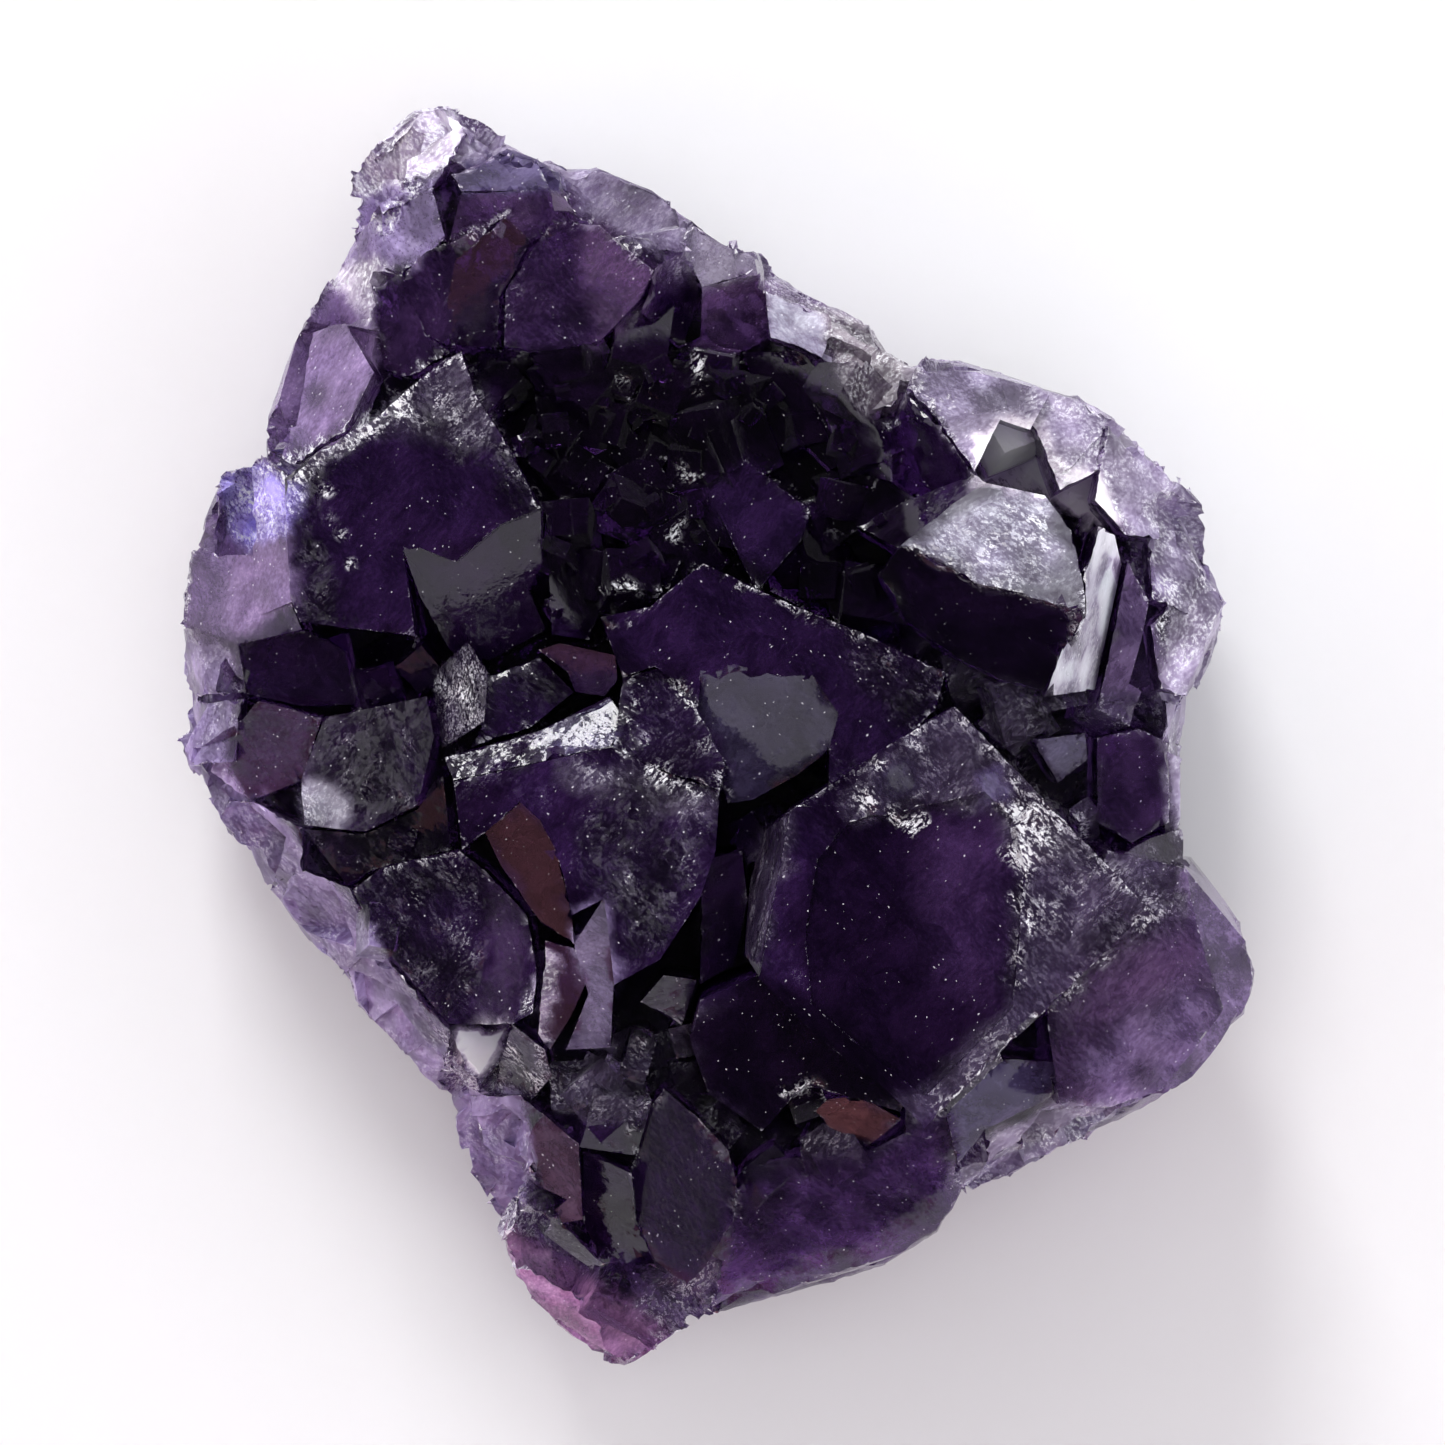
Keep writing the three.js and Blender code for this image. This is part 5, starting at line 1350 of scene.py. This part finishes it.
def fluorite_material():
    """Clear violet stone with milky patches, white grains where it is frosted, dust and wear; its
    tint and haze also carry painted light and painted reflections.
    """
    material = bpy.data.materials.new("fluorite")
    material.use_nodes = True
    make = Stone(material.node_tree)
    shader, output = make.nodes["Principled BSDF"], make.nodes["Material Output"]
    tint = make.attribute("tint", "Color")
    haze, frost, silk, edge, wear = (
        Amount(make, make.attribute(name)) for name in ("haze", "frost", "silk", "edge", "wear"))
    place = make.node("ShaderNodeTexCoord").outputs["Object"]
    slow = make.clouds(place, SLOW_CLOUDS, 2, 0.6)
    drawn = make.brushed(place, slow > 0.5)
    broad = make.clouds(drawn, BROAD_CLOUDS, 3, 0.65)
    fine = make.clouds(drawn, FINE_CLOUDS, 4, 0.72)
    facets = make.cells(drawn, FACETS)

    # White grains and lacework, which thicken with the frost and come in drifts
    drift = frost * ((broad - 0.5) * 2.2 + 0.95)
    level = 0.96 - drift * 0.58
    grains = make.rise(fine * 0.6 + make.chances(facets)[0] * 0.42, level, level + 0.07)
    ridge = make.calc("ABSOLUTE", fine - 0.56)
    lace = make.rise(ridge, drift * 0.09, drift * 0.02) * make.rise(drift, 0.08, 0.5)

    # A thin white line where an edge is rubbed
    line = make.rise(fine * 1.1 + edge, 1.46, 1.6) * wear

    # Dust and tiny flaws, of uneven size and in swarms, and short scratches
    rare = 1.36 - (broad + slow) * 0.5 - frost * 0.7
    dust = make.specks(place, DUST, 0.44, fine, rare)
    nicks = make.specks(drawn, NICKS, 0.5, fine, 1.0 - slow * 0.5)
    white = make.most(grains, lace, line, make.most(dust, nicks) * 0.75)

    # Darker and warmer patches of the tint
    patch = make.rise(slow, 0.35, 0.65)
    mottle = make.blend(patch, make.rise(broad, 0.4, 0.85), make.rise(broad, 0.15, 0.6))
    mottle = make.blend(0.35, mottle, make.rise(fine, 0.35, 0.7))
    mottle = make.most(mottle, make.rise(haze, 0.72, 1.0))
    dark = make.vector("MULTIPLY", tint, DARK_PATCH).outputs[0]
    base = make.blend_colours(mottle, dark, tint)
    warm = make.vector("MULTIPLY", base, WARM_PATCH).outputs[0]
    base = make.blend_colours(patch, base, warm)
    make.put(make.blend_colours(white, base, GRAIN_WHITE), shader.inputs["Base Color"])

    streak = make.rise(fine, 0.45, 0.75) * (drift * 0.5)
    milky = make.blend(white, haze * (mottle + 0.45) + streak, 0.88)
    make.put(make.most(1.0 - milky, 0.0), shader.inputs["Transmission Weight"])
    gloss = silk * (fine * 1.2 + 0.4)
    make.put(make.blend(white, gloss, 0.42), shader.inputs["Roughness"])
    shader.inputs["IOR"].default_value = FLUORITE_IOR

    # Every facet of a frosted place leans its own way, and glass is a little rippled
    bump = make.node("ShaderNodeBump", {
        "Strength": 0.5, "Distance": RIPPLE_HEIGHT * MM,
        "Height": make.clouds(place, RIPPLES, 2, 0.6)})
    normal = make.leans(facets, drift * 0.9 + 0.01)
    tips = make.leans(make.cells(drawn, PLATES), make.rise(frost, 0.02, 0.3) * 0.3 + 0.012)
    for lean in (tips, make.attribute("lean", "Vector"), bump.outputs["Normal"]):
        normal = make.vector("ADD", normal, lean).outputs[0]
    make.put(make.vector("NORMALIZE", normal).outputs[0], shader.inputs["Normal"])

    volume = make.node("ShaderNodeVolumeAbsorption", {
        "Color": ABSORB_COLOUR, "Density": ABSORB_DENSITY})
    make.put(volume.outputs[0], output.inputs["Volume"])
    return material


# Studio

def studio_world():
    """White surround, dark overhead and a dim warm card low on one side."""
    world = bpy.data.worlds.new("studio")
    world.use_nodes = True
    bpy.context.scene.world = world
    make = Words(world.node_tree)
    back = make.nodes["Background"]
    around = make.node("ShaderNodeTexCoord").outputs["Generated"]
    way = make.vector("NORMALIZE", around).outputs[0]
    split = make.node("ShaderNodeSeparateXYZ", {0: way})
    bands = make.node("ShaderNodeValToRGB", {0: split.outputs["Z"]})
    marks = bands.color_ramp.elements
    while len(marks) < len(ZENITH_BANDS):
        marks.new(0.5)
    for mark, (place, level) in zip(marks, ZENITH_BANDS):
        mark.position = place
        mark.color = (*(level * part for part in SURROUND_TINT), 1)
    toward = make.vector("DOT_PRODUCT", way, tuple(way_to(*WARM_CARD_AT))).outputs["Value"]
    outer, inner = (math.cos(math.radians(angle)) for angle in WARM_CARD_EDGE)
    card = make.rise(toward, outer, inner)
    make.put(make.blend_colours(card, bands.outputs[0], WARM_CARD), back.inputs["Color"])
    back.inputs["Strength"].default_value = WHITE_SURROUND


def soft_light(name, azimuth, elevation, distance, size, radiance):
    """A rectangular light that shines on the origin from a distance in metres."""
    light = bpy.data.lights.new(name, "AREA")
    light.shape = "RECTANGLE"
    light.size, light.size_y = size
    light.energy = radiance * math.pi * size[0] * size[1]
    lamp = placed(name, light)
    way = way_to(azimuth, elevation)
    lamp.location = way * distance
    lamp.rotation_mode = "QUATERNION"
    lamp.rotation_quaternion = way.to_track_quat("Z", "Y")
    return lamp


def pale_floor():
    """A plain floor under the crystals, which belongs to the studio and not to the piece."""
    mesh = bpy.data.meshes.new("floor")
    half = FLOOR_HALF
    corners = [(-half, -half, 0), (half, -half, 0), (half, half, 0), (-half, half, 0)]
    mesh.from_pydata(corners, [], [(0, 1, 2, 3)])
    material = bpy.data.materials.new("floor")
    material.use_nodes = True
    shader = material.node_tree.nodes["Principled BSDF"]
    shader.inputs["Base Color"].default_value = FLOOR_WHITE
    shader.inputs["Roughness"].default_value = 0.9
    shader.inputs["Specular IOR Level"].default_value = 0.1
    mesh.materials.append(material)
    floor = placed("floor", mesh)


def camera():
    """The eye straight above the cluster, as in the photo."""
    view = bpy.data.cameras.new("camera")
    view.sensor_width = SENSOR
    breadth = STEP / (EYE_HEIGHT - STEP_LEVEL) * PLAN_SIZE
    view.lens = SENSOR / breadth
    view.clip_start = 0.01
    eye = placed("camera", view)
    eye.location = Vector((EYE_X, EYE_Y, EYE_HEIGHT)) * MM
    bpy.context.scene.camera = eye


def light_settings():
    """Plain colours, and how far light is followed through the stone."""
    scene = bpy.context.scene
    scene.view_settings.view_transform = "Standard"
    scene.cycles.max_bounces = 6
    scene.cycles.transmission_bounces = 6
    scene.cycles.diffuse_bounces = 2
    scene.cycles.sample_clamp_indirect = 6
    scene.cycles.adaptive_threshold = 0.05
    scene.cycles.adaptive_min_samples = 10


rim = Rim(arrays(merged_copy(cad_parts[NODE]))[0])
fluorite = fluorite_material()
cluster_mesh = weathered(grown_body(rim, fluorite), rim)
cluster_mesh.materials.append(fluorite)
cluster = placed("crystal_cluster", cluster_mesh)
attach(cluster, BODY)
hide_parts(NODE)

camera()
studio_world()
soft_light("window", *WINDOW_AT, WINDOW_AWAY, WINDOW_SIZE, WINDOW)
overhead = soft_light("overhead", *OVERHEAD_AT, OVERHEAD_AWAY, OVERHEAD_SIZE, OVERHEAD)
overhead.visible_glossy = False
pale_floor()
light_settings()
